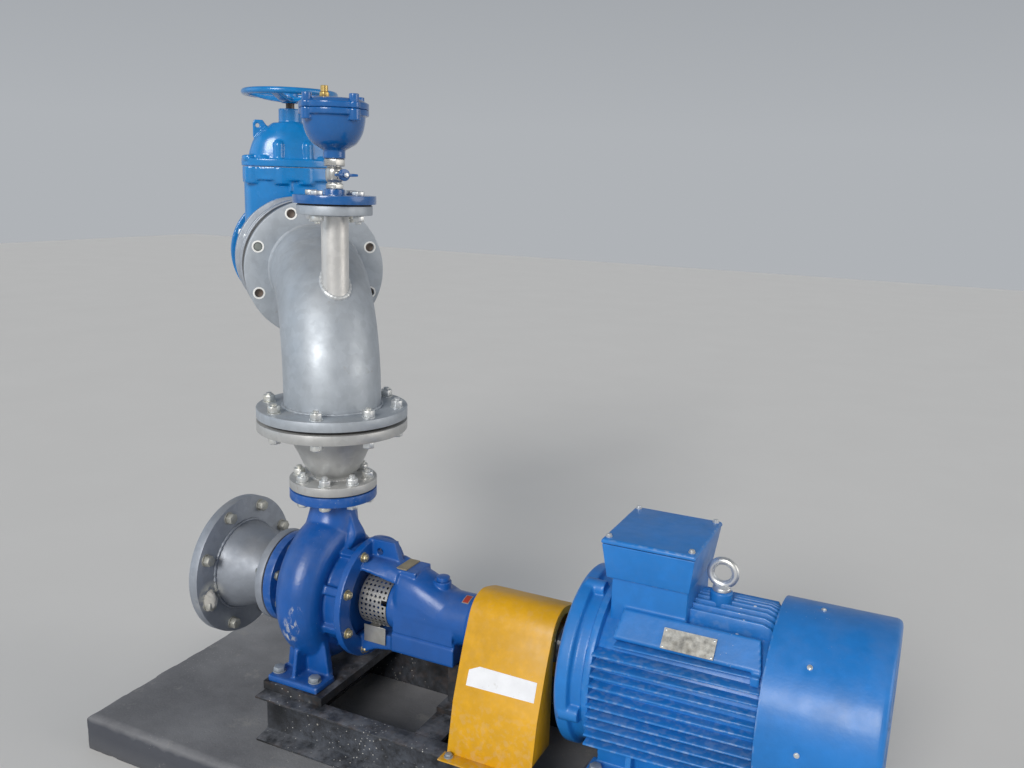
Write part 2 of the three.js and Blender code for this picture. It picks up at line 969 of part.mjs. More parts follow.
// Gate valve body: two flanges, a waist and an oval tower for the bonnet
const gateTower = loft(
  [
    [S + elbowAxis - 118, 62, 96],
    [S + elbowAxis - 60, 72, 124],
    [S + elbowAxis, 74, 133],
    [S + elbowAxis + 120, 72, 133],
    [S + bonnetSplit - 2, 72, 133],
  ].map(([z, halfAlong, halfAcross]) => gateEllipse(z, halfAlong, halfAcross)),
);
// An oval ring at the gate valve, long across the pipe.
function gateEllipse(z, halfAlong, halfAcross, count = 28) {
  const cosine = Math.cos(legAngle);
  const sine = Math.sin(legAngle);
  return steps(count).map((i) => {
    const a = (2 * Math.PI * i) / count;
    const along = gateCentre + halfAlong * Math.cos(a);
    const across = halfAcross * Math.sin(a);
    return [cosine * along - sine * across, sine * along + cosine * across, z];
  });
}
const gateBody = join(
  turnedLeg(disc(gateFront, gateFront + 22, bigFlangeRadius), 28),
  turnedLeg(disc(gateFront + gateLength - 22, gateFront + gateLength, bigFlangeRadius), 28),
  turnedLeg([
    [gateFront + 20, 0],
    [gateFront + 20, 120],
    [gateFront + 50, 128],
    [gateCentre, 142],
    [gateFront + gateLength - 50, 128],
    [gateFront + gateLength - 20, 120],
    [gateFront + gateLength - 20, 0],
  ], 28),
  gateTower,
  loft([
    gateEllipse(S + bonnetSplit - 38.5, 84, 139),
    gateEllipse(S + bonnetSplit, 84, 139),
  ]),
);
place(
  "gate_valve_body",
  cut(
    gateBody,
    turnedLeg(disc(gateCentre + 30, gateFront + gateLength + 1, 100), 28),
    turnedLeg(disc(gateFront - 1, gateCentre - 30, 100), 28),
  ),
  "valveBlue",
);

// Gate valve bonnet: oval flange, dome, neck and two lifting lugs
const bonnetBase = S + bonnetSplit + gap;
const gateX = Math.cos(legAngle) * gateCentre;
const gateY = Math.sin(legAngle) * gateCentre;
const bonnetTop = S + 1136;
const lugOutline = [
  [98, 1440],
  [105, 1458],
  [105, 1496],
  [100, 1503],
  [78, 1503],
  [68, 1490],
  [66, 1448],
];
const lugHole = steps(14).map((i) => {
  const a = (2 * Math.PI * i) / 14;
  return [92 + 6 * Math.cos(a), 1487 + 6 * Math.sin(a)];
});
const lug = cut(plateX(lugOutline, gateCentre - 5, gateCentre + 5), plateX(lugHole, gateCentre - 6, gateCentre + 6));
const lugTurn = 135;
place(
  "gate_valve_bonnet",
  cut(
    join(
      loft([gateEllipse(bonnetBase, 84, 139), gateEllipse(bonnetBase + 20.7, 84, 139)]),
      loft([
        gateEllipse(1390, 70, 120),
        gateEllipse(1412, 68, 117),
        gateEllipse(1450, 62, 103),
        gateEllipse(1466, 56, 90),
        gateEllipse(1482, 48, 70),
        gateEllipse(1495, 38, 48),
      ]),
      turnedUp(disc(S + 1080, bonnetTop, 33), gateX, gateY, 28),
      lug.rotate([0, 0, lugTurn]),
      lug.mirror([0, 1, 0]).rotate([0, 0, lugTurn]),
    ),
    turnedUp(disc(bonnetTop - 30, bonnetTop + 1, 13), gateX, gateY, 20),
  ),
  "valveBlue",
);

// Stem and handwheel
const wheelHub = S + wheelHeight;
place("gate_valve_stem", turnedUp(disc(bonnetTop - 28, wheelHub + 8, 12), gateX, gateY, 20), "steel");
const rim = new THREE.TorusGeometry(wheelRadius - 9, 9, 10, 28);
rim.translate(0, 0, wheelHub);
const spokes = steps(5).map((i) => {
  const spoke = loft([
    [
      [0, -16, wheelHub - 26],
      [0, 16, wheelHub - 26],
      [0, 16, wheelHub - 10],
      [0, -16, wheelHub - 10],
    ],
    [
      [60, -14, wheelHub - 20],
      [60, 14, wheelHub - 20],
      [60, 14, wheelHub - 9],
      [60, -14, wheelHub - 9],
    ],
    [
      [wheelRadius - 10, -12, wheelHub - 5],
      [wheelRadius - 10, 12, wheelHub - 5],
      [wheelRadius - 10, 12, wheelHub + 5],
      [wheelRadius - 10, -12, wheelHub + 5],
    ],
  ]);
  return spoke.rotate([0, 0, 72 * i]);
});
const wheel = cut(
  join(solid(rim), spokes, turnedUp(disc(wheelHub - 27, wheelHub + 4, 24), 0, 0, 24)),
  turnedUp(disc(wheelHub - 40, wheelHub + 10, 12 + gap), 0, 0, 20),
);
place("gate_valve_handwheel", wheel.translate([gateX, gateY, 0]), "valveBlue");

// Motor frame: core, cooling fins, flat panels, feet, box neck and eyebolt boss
const finReach = (z) => 184 - 0.0009 * Math.max(0, z - 324) ** 2;
const finEnds = [
  [motorBodyStart + 12, 0],
  [coverStart - 4, 10],
];
const sideFins = [-1, 1].flatMap((side) =>
  steps(10).map((i) => {
    const z = S + 80 - finPitch * i;
    return loft(
      finEnds.map(([x, less]) => {
        const tip = side * (finReach(z) - less);
        return [
          [x, side * 100, z - 3],
          [x, tip, z - 3],
          [x, tip, z + 3],
          [x, side * 100, z + 3],
        ];
      }),
    );
  }),
);
const topFins = steps(7).map((i) => {
  const y = -54 + 18 * i;
  const reach = Math.sqrt(motorFin * motorFin - y * y);
  return plateY(
    [
      [motorBodyStart + 12, S + 120],
      [motorBodyStart + 12, S + reach],
      [motorBodyEnd - 34, S + reach],
      [motorBodyEnd - 20, S + reach - 5],
      [motorBodyEnd - 11, S + reach - 14],
      [motorBodyEnd - 8, S + reach - 26],
      [motorBodyEnd - 8, S + 120],
    ],
    y - 3.5,
    y + 3.5,
  );
});
function sidePanel(side) {
  return plateX(
    [
      [side * 84, S + 150],
      [side * 92, S + 157],
      [side * 144, S + 100],
      [side * 144, S + 90],
      [side * 110, S + 88],
    ],
    motorBodyStart + 50,
    motorBodyEnd - 24,
  );
}
function motorFoot(side) {
  const y0 = Math.min(side * 112, side * footHalfWidth);
  const y1 = Math.max(side * 112, side * footHalfWidth);
  const web = [
    [side * 104, padTop + 4],
    [side * 124, padTop + 4],
    [side * 140, S - 92],
    [side * 104, S - 92],
  ];
  const gusset = [
    [side * 104, padTop + 4],
    [side * (footHalfWidth - 8), padTop + 16],
    [side * 150, S - 92],
    [side * 104, S - 92],
  ];
  return join(
    box(712, 1064, y0, y1, padTop, padTop + 18),
    plateX(web, 724, coverStart - 6),
    plateX(gusset, 790, 802),
    plateX(gusset, 966, 978),
  );
}
const motorFrame = join(
  turned(disc(motorBodyStart, motorBodyEnd, motorCore), 28),
  turned(disc(motorBodyStart, motorBodyStart + 14, motorFin - 4), 28),
  turned(disc(motorBodyEnd - 10, motorBodyEnd, motorFin - 12), 28),
  sideFins,
  topFins,
  sidePanel(-1),
  sidePanel(1),
  motorFoot(-1),
  motorFoot(1),
  box(720, 870, -84, 84, S + 110, S + 212),
  turnedUp(disc(S + 140, S + 195, 22), 915, 0, 24),
);
place("motor_frame", motorFrame, "motorBlue");

// Drive-end shield with four bolt ears
const shieldEars = [16, 106, 196, 286].map((a) => {
  const ear4 = new THREE.CylinderGeometry(17, 17, 40, 10);
  ear4.rotateZ(-Math.PI / 2);
  ear4.translate(676, 172 * Math.cos(degrees(a)), S + 172 * Math.sin(degrees(a)));
  return solid(ear4);
});
place(
  "motor_drive_shield",
  cut(
    join(
      turned([
        [motorFace - 12, 0],
        [motorFace - 12, 66],
        [motorFace, 74],
        [motorFace + 4, 152],
        [motorFace + 8, 177],
        [motorFace + 14, 184],
        [motorFace + 36, 184],
        [motorFace + 40, 170],
        [motorBodyStart - gap, 170],
        [motorBodyStart - gap, 0],
      ], 28),
      shieldEars,
    ),
    turned(disc(motorFace - 20, motorFace - 4, 30), 24),
  ),
  "motorBlue",
);

// Fan-end shield with four lugs that carry the cover, the fan and the cover
const coverLugs = steps(4).map((i) => {
  const lug = new THREE.BoxGeometry(50, 20, 40);
  lug.translate(motorBodyEnd + gap + 25, 0, coverRadius - 4.4 - 20);
  lug.rotateX(degrees(45 + 90 * i));
  lug.translate(0, 0, S);
  return solid(lug);
});
place(
  "motor_fan_shield",
  join(turned([
    [motorBodyEnd + gap, 0],
    [motorBodyEnd + gap, 168],
    [motorBodyEnd + 22, 168],
    [motorBodyEnd + 44, 90],
    [motorBodyEnd + 52, 50],
    [motorBodyEnd + 52, 0],
  ], 28), coverLugs),
  "motorBlue",
);
const fanBlades = steps(7).map((i) => {
  const blade = new THREE.BoxGeometry(52, 5, 96);
  blade.translate(1144, 0, 92);
  blade.rotateX((2 * Math.PI * i) / 7);
  blade.translate(0, 0, S);
  return solid(blade);
});
place(
  "motor_fan",
  join(
    turned(disc(motorBodyEnd + 52 + gap, 1170, 46), 28),
    turned(disc(1112, 1118, 140), 28),
    fanBlades,
  ),
  "rubber",
);
const coverSlots = steps(12).map((i) => {
  const slot = new THREE.BoxGeometry(20, 16, 96);
  slot.translate(coverEnd, 0, 100);
  slot.rotateX((2 * Math.PI * i) / 12);
  slot.translate(0, 0, S);
  return solid(slot);
});
place(
  "motor_fan_cover",
  cut(
    turned([
      [coverStart, coverRadius - 3],
      [coverStart, coverRadius],
      [coverEnd - 20, coverRadius],
      [coverEnd - 8, coverRadius - 6],
      [coverEnd, coverRadius - 20],
      [coverEnd, 0],
      [coverEnd - 3, 0],
      [coverEnd - 3, coverRadius - 22],
      [coverEnd - 10, coverRadius - 9],
      [coverEnd - 20, coverRadius - 3],
      [coverStart, coverRadius - 3],
    ], 28),
    coverSlots,
  ),
  "motorBlue",
);

// Terminal box with tapered sides, its lid, the eyebolt and the blank plate
const boxBottom = S + 212 + gap;
const boxTop = S + 285;
place(
  "terminal_box",
  loft([rectangle(712, 872, -91, 91, boxBottom), rectangle(702, 882, -104, 104, boxTop)]),
  "motorBlue",
);
place(
  "terminal_box_lid",
  loft([
    rectangle(700, 884, -106, 106, boxTop + gap),
    rectangle(700, 884, -106, 106, boxTop + 7),
    rectangle(704, 880, -102, 102, boxTop + 10),
  ]),
  "motorBlue",
);
const eye = new THREE.TorusGeometry(24.5, 7, 8, 20);
eye.rotateX(Math.PI / 2);
eye.translate(915, 0, S + 231);
place(
  "lifting_eyebolt",
  join(
    solid(eye),
    turnedUp([
      [S + 195 + gap, 0],
      [S + 195 + gap, 18],
      [S + 202, 18],
      [S + 206, 10],
      [S + 206, 0],
    ], 915, 0, 20),
  ),
  "zinc",
);
const plateTilt = Math.atan2(57, 52);
const blankPlate = new THREE.BoxGeometry(100, 40, 1.2);
blankPlate.rotateX(plateTilt);
blankPlate.translate(886, -118.97, S + 128.81);
place("rating_plate", solid(blankPlate), "zinc");

// Blank label with one cut corner on the near leg of the coupling guard
const [legTopY, legTopZ] = guardOuter[guardOuter.length - 3];
const [legLowY, legLowZ] = guardOuter[guardOuter.length - 2];
const labelShape = new THREE.Shape(
  [
    [446.5, 37],
    [598.5, 39],
    [598.5, 79],
    [470, 80],
    [447.5, 69],
  ].map(([x, up]) => new THREE.Vector2(x, up)),
);
const blankLabel = new THREE.ExtrudeGeometry(labelShape, { depth: 0.6, bevelEnabled: false });
blankLabel.translate(0, 0, gap);
blankLabel.rotateX(Math.atan2(legTopZ - legLowZ, legTopY - legLowY));
blankLabel.translate(0, legLowY, legLowZ);
place("guard_label", solid(blankLabel), "label");

export default part;
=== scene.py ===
import math

import bmesh
import bpy
from mathutils import Matrix, Vector, noise


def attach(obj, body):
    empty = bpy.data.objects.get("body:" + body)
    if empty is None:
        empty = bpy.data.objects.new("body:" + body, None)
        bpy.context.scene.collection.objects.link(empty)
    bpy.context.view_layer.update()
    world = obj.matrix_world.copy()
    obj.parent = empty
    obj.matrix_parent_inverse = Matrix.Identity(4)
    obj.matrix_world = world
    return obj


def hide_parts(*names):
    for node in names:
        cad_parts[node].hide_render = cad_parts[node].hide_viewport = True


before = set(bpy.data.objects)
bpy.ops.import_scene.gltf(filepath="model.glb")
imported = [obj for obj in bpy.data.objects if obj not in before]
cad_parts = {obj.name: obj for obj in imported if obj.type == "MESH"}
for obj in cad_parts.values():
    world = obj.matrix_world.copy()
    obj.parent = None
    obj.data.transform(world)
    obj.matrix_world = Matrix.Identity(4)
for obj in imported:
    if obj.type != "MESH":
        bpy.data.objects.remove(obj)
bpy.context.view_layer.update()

# Sizes are in millimetres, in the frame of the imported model: X runs from the pump to the motor and Z up.
# The pump's discharge stands over the origin.
MM = 0.001
GAP = 0.3
SHAFT_Z = 400.0
FRAME_LOW, FRAME_TOP = 88.0, 200.0
LEG_Z = SHAFT_Z + 725
LEG_ANGLE = math.radians(135)
VENT = (6.0, 6.0)
GATE = (-524.67, 524.67)
GATE_MID = 742.0
CAP_X = 297.0

# Pipework: the big pipe, its flange and bolt circle, then the end faces of each fitting along its line
PIPE, PIPE_BORE, FLANGE, BOLT_CIRCLE = 109.5, 103.5, 170.0, 147.5
SUCTION_END, SUCTION_LENGTH = -293.6, 165.0
DISCHARGE_LOW, DISCHARGE_TOP = 653.6, 816.4
RISER_LOW, RISER_TOP, BEND = 844.0, 863.0, 262.0
VENT_LOW, VENT_FACE = 1272.0, 1295.6
PUMP_INLET, PUMP_OUTLET = (-125, -103), (SHAFT_Z + 228, SHAFT_Z + 250)
JOINT_FRONT, JOINT_MIDDLE, JOINT_REAR = (385.3, 407), (460, 482), (603, 626.7)
GATE_FRONT, GATE_REAR = (627, 649), (835, 857)

# Motor: its shield, ribbed frame and fan cover along the shaft
SHIELD_X, FRAME_X0, FRAME_X1 = 637.0, 700.0, 1040.0
COVER_X0, COVER_X1, COVER_RADIUS = 1030.0, 1241.0, 195.0
DIMPLE_X, DIMPLE_DEPTH, DIMPLE_ANGLES = 1104.0, 2.4, [-42 + 45 * k for k in range(8)]
EAR_ANGLES, EAR_CIRCLE = (16, 106, 196, 286), 172.0

X, Y, Z = Vector((1, 0, 0)), Vector((0, 1, 0)), Vector((0, 0, 1))
TO_Z = Matrix.Rotation(-math.pi / 2, 4, "Y")
SHAFT = Matrix.Translation((0, 0, SHAFT_Z))
LEG = Matrix.Translation((0, 0, LEG_Z)) @ Matrix.Rotation(LEG_ANGLE, 4, "Z")
ALONG_LEG = Vector((math.cos(LEG_ANGLE), math.sin(LEG_ANGLE), 0))
ACROSS_LEG = Vector((-ALONG_LEG.y, ALONG_LEG.x, 0))


# Points and outlines
def upright(x=0.0, y=0.0, z=0.0):
    """Turns a shape made along +X to stand along +Z at x, y."""
    return Matrix.Translation((x, y, z)) @ TO_Z


def circle(radius, count, centre=(0.0, 0.0)):
    angles = [2 * math.pi * i / count for i in range(count)]
    return [(centre[0] + radius * math.cos(a), centre[1] + radius * math.sin(a)) for a in angles]


def disc(start, end, radius):
    return [(start, radius), (end, radius)]


def ring(start, end, outer, inner):
    return [(start, inner), (start, outer), (end, outer), (end, inner), (start, inner)]


def moved(outline, by):
    return [(a + by, r) for a, r in outline]


def flipped(outline, side):
    return [(side * y, z) for y, z in outline]


def rectangle(a, b, c, d):
    return [(a, c), (b, c), (b, d), (a, d)]


def round_shaft(x, radius, angle):
    """A point round the shaft's line, the angle measured from the top."""
    return (x, radius * math.sin(angle), SHAFT_Z + radius * math.cos(angle))


def between(a, b, c, d, t):
    """The value at share t from b to c, on a smooth curve that comes from a and goes on to d."""
    return 0.5 * (2 * b + (c - a) * t + (2 * a - 5 * b + 4 * c - d) * t * t + (3 * b - a - 3 * c + d) * t**3)


def spline(points, steps):
    """A smooth row of points through the given ones."""
    out = []
    last = len(points) - 1
    for i in range(last):
        axes = list(zip(points[max(i - 1, 0)], points[i], points[i + 1], points[min(i + 2, last)]))
        out += [tuple(between(*axis, s / steps) for axis in axes) for s in range(steps)]
    return out + [tuple(points[-1])]


def smooth_rings(rings, steps):
    columns = [spline([r[j] for r in rings], steps) for j in range(len(rings[0]))]
    return [list(r) for r in zip(*columns)]


def oval(x, y, z, half_x, half_y, count=48):
    return [(x + half_x * c, y + half_y * s, z) for c, s in circle(1, count)]


def gate_oval(z, half_along, half_across, count=72):
    """An oval at the gate valve, in the frame of the leg, long across the pipe."""
    return oval(GATE_MID, 0, z - LEG_Z, half_along, half_across, count)


def mirrored(a, b, side):
    """The span from a to b on one side, low end first."""
    return sorted((side * a, side * b))


class Shape:
    """Points in millimetres and faces, gathered from simple forms."""

    def __init__(self):
        self.points = []
        self.faces = []

    def add(self, points, faces, place=None):
        base = len(self.points)
        self.points += [place @ Vector(p) if place else Vector(p) for p in points]
        self.faces += [[base + i for i in f] for f in faces]
        return self

    def loft(self, rings, place=None, closed=False):
        """A skin over rings of points, capped at both ends unless the last ring joins the first."""
        count = len(rings[0])
        total = len(rings)
        faces = []
        for i in range(total if closed else total - 1):
            a, b = i * count, ((i + 1) % total) * count
            for j in range(count):
                k = (j + 1) % count
                faces.append([a + j, a + k, b + k, b + j])
        if not closed:
            faces.append(list(range(count))[::-1])
            faces.append([(total - 1) * count + j for j in range(count)])
        return self.add([p for r in rings for p in r], faces, place)

    def turn(self, outline, place, segments=96):
        """A turned form along +X. An outline that ends where it starts is a ring, any other is solid."""
        closed = outline[0] == outline[-1] and outline[0][1] > 0
        profile = outline[:-1] if closed else [p for p in outline if p[1] > 0]
        return self.loft([[(a, y, z) for y, z in circle(r, segments)] for a, r in profile], place, closed)

    def box(self, x0, x1, y0, y1, z0, z1, place=None):
        return self.loft([[(x, y, z) for x, y in rectangle(x0, x1, y0, y1)] for z in (z0, z1)], place)

    def prism(self, outline, start, end, place=None):
        """An outline in the YZ plane, drawn out along +X."""
        return self.loft([[(x, y, z) for y, z in outline] for x in (start, end)], place)

    def plate_with_hole(self, outline, centre, radius, start, end, place=None, count=32):
        """A plate in the YZ plane with one round hole. The outline is seen whole from the hole's centre."""
        corners = [math.atan2(z - centre[1], y - centre[0]) for y, z in outline]
        even = [-math.pi + 2 * math.pi * (i + 0.5) / count for i in range(count)]
        angles = sorted(even + [a for a in corners if min(abs(a - e) for e in even) > 1e-3])
        rim, hole = [], []
        for a in angles:
            d = Vector((math.cos(a), math.sin(a)))
            reach = 0.0
            for p, q in zip(outline, outline[1:] + outline[:1]):
                edge = Vector((q[0] - p[0], q[1] - p[1]))
                to = Vector((p[0] - centre[0], p[1] - centre[1]))
                cross = d.x * edge.y - d.y * edge.x
                if abs(cross) < 1e-9:
                    continue
                t = (to.x * edge.y - to.y * edge.x) / cross
                u = (to.x * d.y - to.y * d.x) / cross
                if t > 0 and -1e-6 <= u <= 1 + 1e-6:
                    reach = max(reach, t)
            rim.append((centre[0] + d.x * reach, centre[1] + d.y * reach))
            hole.append((centre[0] + d.x * radius, centre[1] + d.y * radius))
        n = len(angles)
        faces = []
        for j in range(n):
            k = (j + 1) % n
            faces.append([j, n + j, n + k, k])
            faces.append([2 * n + j, 2 * n + k, 3 * n + k, 3 * n + j])
            faces.append([j, k, 2 * n + k, 2 * n + j])
            faces.append([n + j, 3 * n + j, 3 * n + k, n + k])
        return self.add([(x, y, z) for x in (start, end) for y, z in rim + hole], faces, place)

    def tube(self, path, radius, place=None, sides=8, up=(0, 0, 1)):
        """A round bead along a closed path. The radius is a number or a function of the step."""
        rings = []
        for i, p in enumerate(path):
            along = (Vector(path[(i + 1) % len(path)]) - Vector(path[i - 1])).normalized()
            side = along.cross(Vector(up))
            if side.length < 0.05:
                side = along.cross(X)
            side.normalize()
            lift = side.cross(along)
            size = radius(i) if callable(radius) else radius
            rings.append([tuple(Vector(p) + side * size * c + lift * size * s) for c, s in circle(1, sides)])
        return self.loft(rings, place, True)


# Meshes and pieces
def to_mesh(shape):
    mesh = bpy.data.meshes.new("part")
    mesh.from_pydata([tuple(p * MM) for p in shape.points], [], shape.faces)
    made = bmesh.new()
    made.from_mesh(mesh)
    bmesh.ops.remove_doubles(made, verts=made.verts, dist=1e-6)
    bmesh.ops.recalc_face_normals(made, faces=made.faces)
    made.to_mesh(mesh)
    made.free()
    return mesh


def shown(name, mesh):
    obj = bpy.data.objects.new(name, mesh)
    bpy.context.scene.collection.objects.link(obj)
    return obj


def worked(mesh, *modifiers):
    """The mesh after a row of modifiers, each a kind and its settings."""
    obj = shown("work", mesh)
    for kind, settings in modifiers:
        m = obj.modifiers.new(kind, kind)
        for key, value in settings.items():
            setattr(m, key, value)
    bpy.context.view_layer.update()
    out = bpy.data.meshes.new_from_object(obj.evaluated_get(bpy.context.evaluated_depsgraph_get()))
    bpy.data.objects.remove(obj)
    bpy.data.meshes.remove(mesh)
    return out


def crisp(shape, width=1.2, segments=2, angle=30):
    """Machined or sheet parts: true edges with a small round."""
    settings = {"width": width * MM, "segments": segments, "limit_method": "ANGLE"}
    return worked(to_mesh(shape), ("BEVEL", {**settings, "angle_limit": math.radians(angle)}))


def voxels(size):
    return ("REMESH", {"mode": "VOXEL", "voxel_size": size * MM})


def cast(shape, size, passes):
    """Cast parts: one skin over all the forms, with filleted corners, thinned to most of its faces."""
    smooth = ("SMOOTH", {"factor": 0.5, "iterations": passes})
    return worked(to_mesh(shape), voxels(size), smooth, ("DECIMATE", {"ratio": 0.6}))


def sheet(shape, thickness):
    """An open skin given a thickness, inward."""
    settings = {"thickness": thickness * MM, "offset": -1.0, "use_even_offset": True}
    return worked(to_mesh(shape), ("SOLIDIFY", settings))


def cut(mesh, tool_shape):
    """The mesh with round holes cut through it."""
    tool_mesh = to_mesh(tool_shape)
    tool = shown("tool", tool_mesh)
    out = worked(mesh, ("BOOLEAN", {"operation": "DIFFERENCE", "object": tool, "solver": "EXACT"}))
    bpy.data.objects.remove(tool)
    bpy.data.meshes.remove(tool_mesh)
    return out


def piece(name, meshes, material, node=None, body="pump_set", sharp=40):
    """One shown piece from one or more meshes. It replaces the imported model's node, if one is named."""
    joined = bmesh.new()
    for mesh in meshes if isinstance(meshes, list) else [meshes]:
        joined.from_mesh(mesh)
        bpy.data.meshes.remove(mesh)
    mesh = bpy.data.meshes.new(name)
    joined.to_mesh(mesh)
    joined.free()
    mesh.polygons.foreach_set("use_smooth", [True] * len(mesh.polygons))
    mesh.set_sharp_from_angle(angle=math.radians(sharp))
    mesh.materials.append(material)
    obj = shown(name, mesh)
    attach(obj, body)
    if node:
        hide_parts(node)
    return obj


# Materials
class Graph:
    """A material built from nodes, all of them placed by object coordinates."""

    def __init__(self, name):
        self.material = bpy.data.materials.new(name)
        self.material.use_nodes = True
        self.tree = self.material.node_tree
        self.shader = self.tree.nodes["Principled BSDF"]
        self.place = self.node("ShaderNodeTexCoord").outputs["Object"]
        self.geometry = self.node("ShaderNodeNewGeometry")

    def set(self, socket, value):
        if isinstance(value, bpy.types.NodeSocket):
            self.tree.links.new(value, socket)
        else:
            socket.default_value = value

    def node(self, kind, inputs=None, **settings):
        made = self.tree.nodes.new(kind)
        for key, value in settings.items():
            setattr(made, key, value)
        for key, value in (inputs or {}).items():
            self.set(made.inputs[key], value)
        return made

    def noise(self, scale, detail=4.0, rough=0.55, stretch=None):
        place = self.place
        if stretch:
            place = self.node("ShaderNodeMapping", {"Vector": place, "Scale": stretch}).outputs[0]
        inputs = {"Vector": place, "Scale": scale, "Detail": detail, "Roughness": rough}
        return self.node("ShaderNodeTexNoise", inputs).outputs["Fac"]

    def cells(self, scale, output="Distance"):
        return self.node("ShaderNodeTexVoronoi", {"Vector": self.place, "Scale": scale}).outputs[output]

    def span(self, value, low, high, to_low=0.0, to_high=1.0):
        inputs = {"Value": value, "From Min": low, "From Max": high, "To Min": to_low, "To Max": to_high}
        return self.node("ShaderNodeMapRange", inputs, clamp=True).outputs["Result"]

    def patches(self, scale, detail, low, high, rough=0.55):
        """Cloudy patches of noise, 0 below low and 1 above high."""
        return self.span(self.noise(scale, detail, rough), low, high)

    def math(self, kind, a, b=0.0):
        return self.node("ShaderNodeMath", {0: a, 1: b}, operation=kind).outputs[0]

    def times(self, *values):
        out = values[0]
        for v in values[1:]:
            out = self.math("MULTIPLY", out, v)
        return out

    def most(self, a, b):
        return self.math("MAXIMUM", a, b)

    def mix(self, share, a, b):
        made = self.node("ShaderNodeMix", {}, data_type="RGBA")
        for key, value in ((0, share), (6, a), (7, b)):
            self.set(made.inputs[key], (*value, 1.0) if isinstance(value, tuple) else value)
        return made.outputs[2]

    def axis(self, vector, which):
        return self.node("ShaderNodeSeparateXYZ", {0: vector}).outputs[which]

    def upward(self, low=0.2, high=0.95):
        return self.span(self.axis(self.geometry.outputs["Normal"], 2), low, high)

    def worn_edge(self, low=0.53, high=0.6):
        return self.span(self.geometry.outputs["Pointiness"], low, high)

    def near(self, x, y, z, inner, outer):
        """1 within inner millimetres of a point, 0 beyond outer."""
        inputs = {0: self.place, 1: (x * MM, y * MM, z * MM)}
        far = self.node("ShaderNodeVectorMath", inputs, operation="DISTANCE").outputs["Value"]
        return self.span(far, inner * MM, outer * MM, 1.0, 0.0)

    def bump(self, height, strength=0.3, distance=0.001, under=None):
        inputs = {"Height": height, "Strength": strength, "Distance": distance}
        if under:
            inputs["Normal"] = under
        return self.node("ShaderNodeBump", inputs).outputs["Normal"]

    def finish(self, colour, rough, normal=None, **fixed):
        """Links colour, roughness and normal. Values that are the same all over go on the shader itself."""
        s = self.shader.inputs
        for key, value in (("Base Color", colour), ("Roughness", rough), ("Normal", normal)):
            if value:
                self.tree.links.new(value, s[key])
        for key, value in fixed.items():
            s[key.replace("_", " ").title().replace("Ior", "IOR")].default_value = value
        return self.material


def shade(colour, k):
    return tuple(c * k for c in colour)


DUST = (0.42, 0.385, 0.33)


def paint(name, colour, rough, dust, chips, peel=190.0, relief=0.35, coat=0.15, marks=(), flecks=()):
    """Brushed or sprayed enamel on a casting, with dust on top faces and worn edges."""
    g = Graph(name)
    base = g.mix(g.patches(5.5, 5, 0.32, 0.68), shade(colour, 0.84), shade(colour, 1.1))
    base = g.mix(g.times(g.patches(42, 4, 0.45, 0.75), 0.35), base, shade(colour, 1.28))
    settled = g.times(g.upward(0.1, 0.95), g.patches(13, 6, 0.4, 0.72, 0.65), dust)
    film = g.times(g.patches(3.1, 5, 0.45, 0.8, 0.6), dust * 0.35)
    powder = g.most(settled, film)
    base = g.mix(powder, base, DUST)
    worn = g.times(g.worn_edge(), g.patches(75, 5, 0.48, 0.62), chips)
    base = g.mix(worn, base, (0.45, 0.52, 0.6))
    nicks = g.times(g.span(g.cells(120), 0.10, 0.05), g.patches(9, 3, 0.58, 0.66), 0.8)
    base = g.mix(nicks, base, (0.52, 0.55, 0.58))
    for x, y, z, size in flecks:
        spots = g.times(g.near(x, y, z, size * 0.4, size), g.span(g.cells(62), 0.2, 0.15), g.upward(0.3, 0.7))
        base = g.mix(spots, base, (0.78, 0.80, 0.80))
    for x, y, z, size in marks:
        torn = g.span(g.noise(95, 5, 0.7, (1.0, 1.0, 0.35)), 0.5, 0.56)
        scuff = g.times(g.near(x, y, z, size * 0.3, size), torn, 0.85)
        base = g.mix(scuff, base, (0.55, 0.56, 0.54))
        powder = g.most(powder, scuff)
    gloss = g.span(g.noise(30, 4), 0.3, 0.7, rough - 0.05, rough + 0.09)
    gloss = g.math("ADD", gloss, g.times(powder, 0.5))
    coarse = g.bump(g.noise(peel, 3, 0.5), relief, 0.0006)
    waves = g.bump(g.noise(38, 3), relief * 0.7, 0.0018, coarse)
    return g.finish(base, gloss, waves, coat_weight=coat, coat_roughness=0.18)


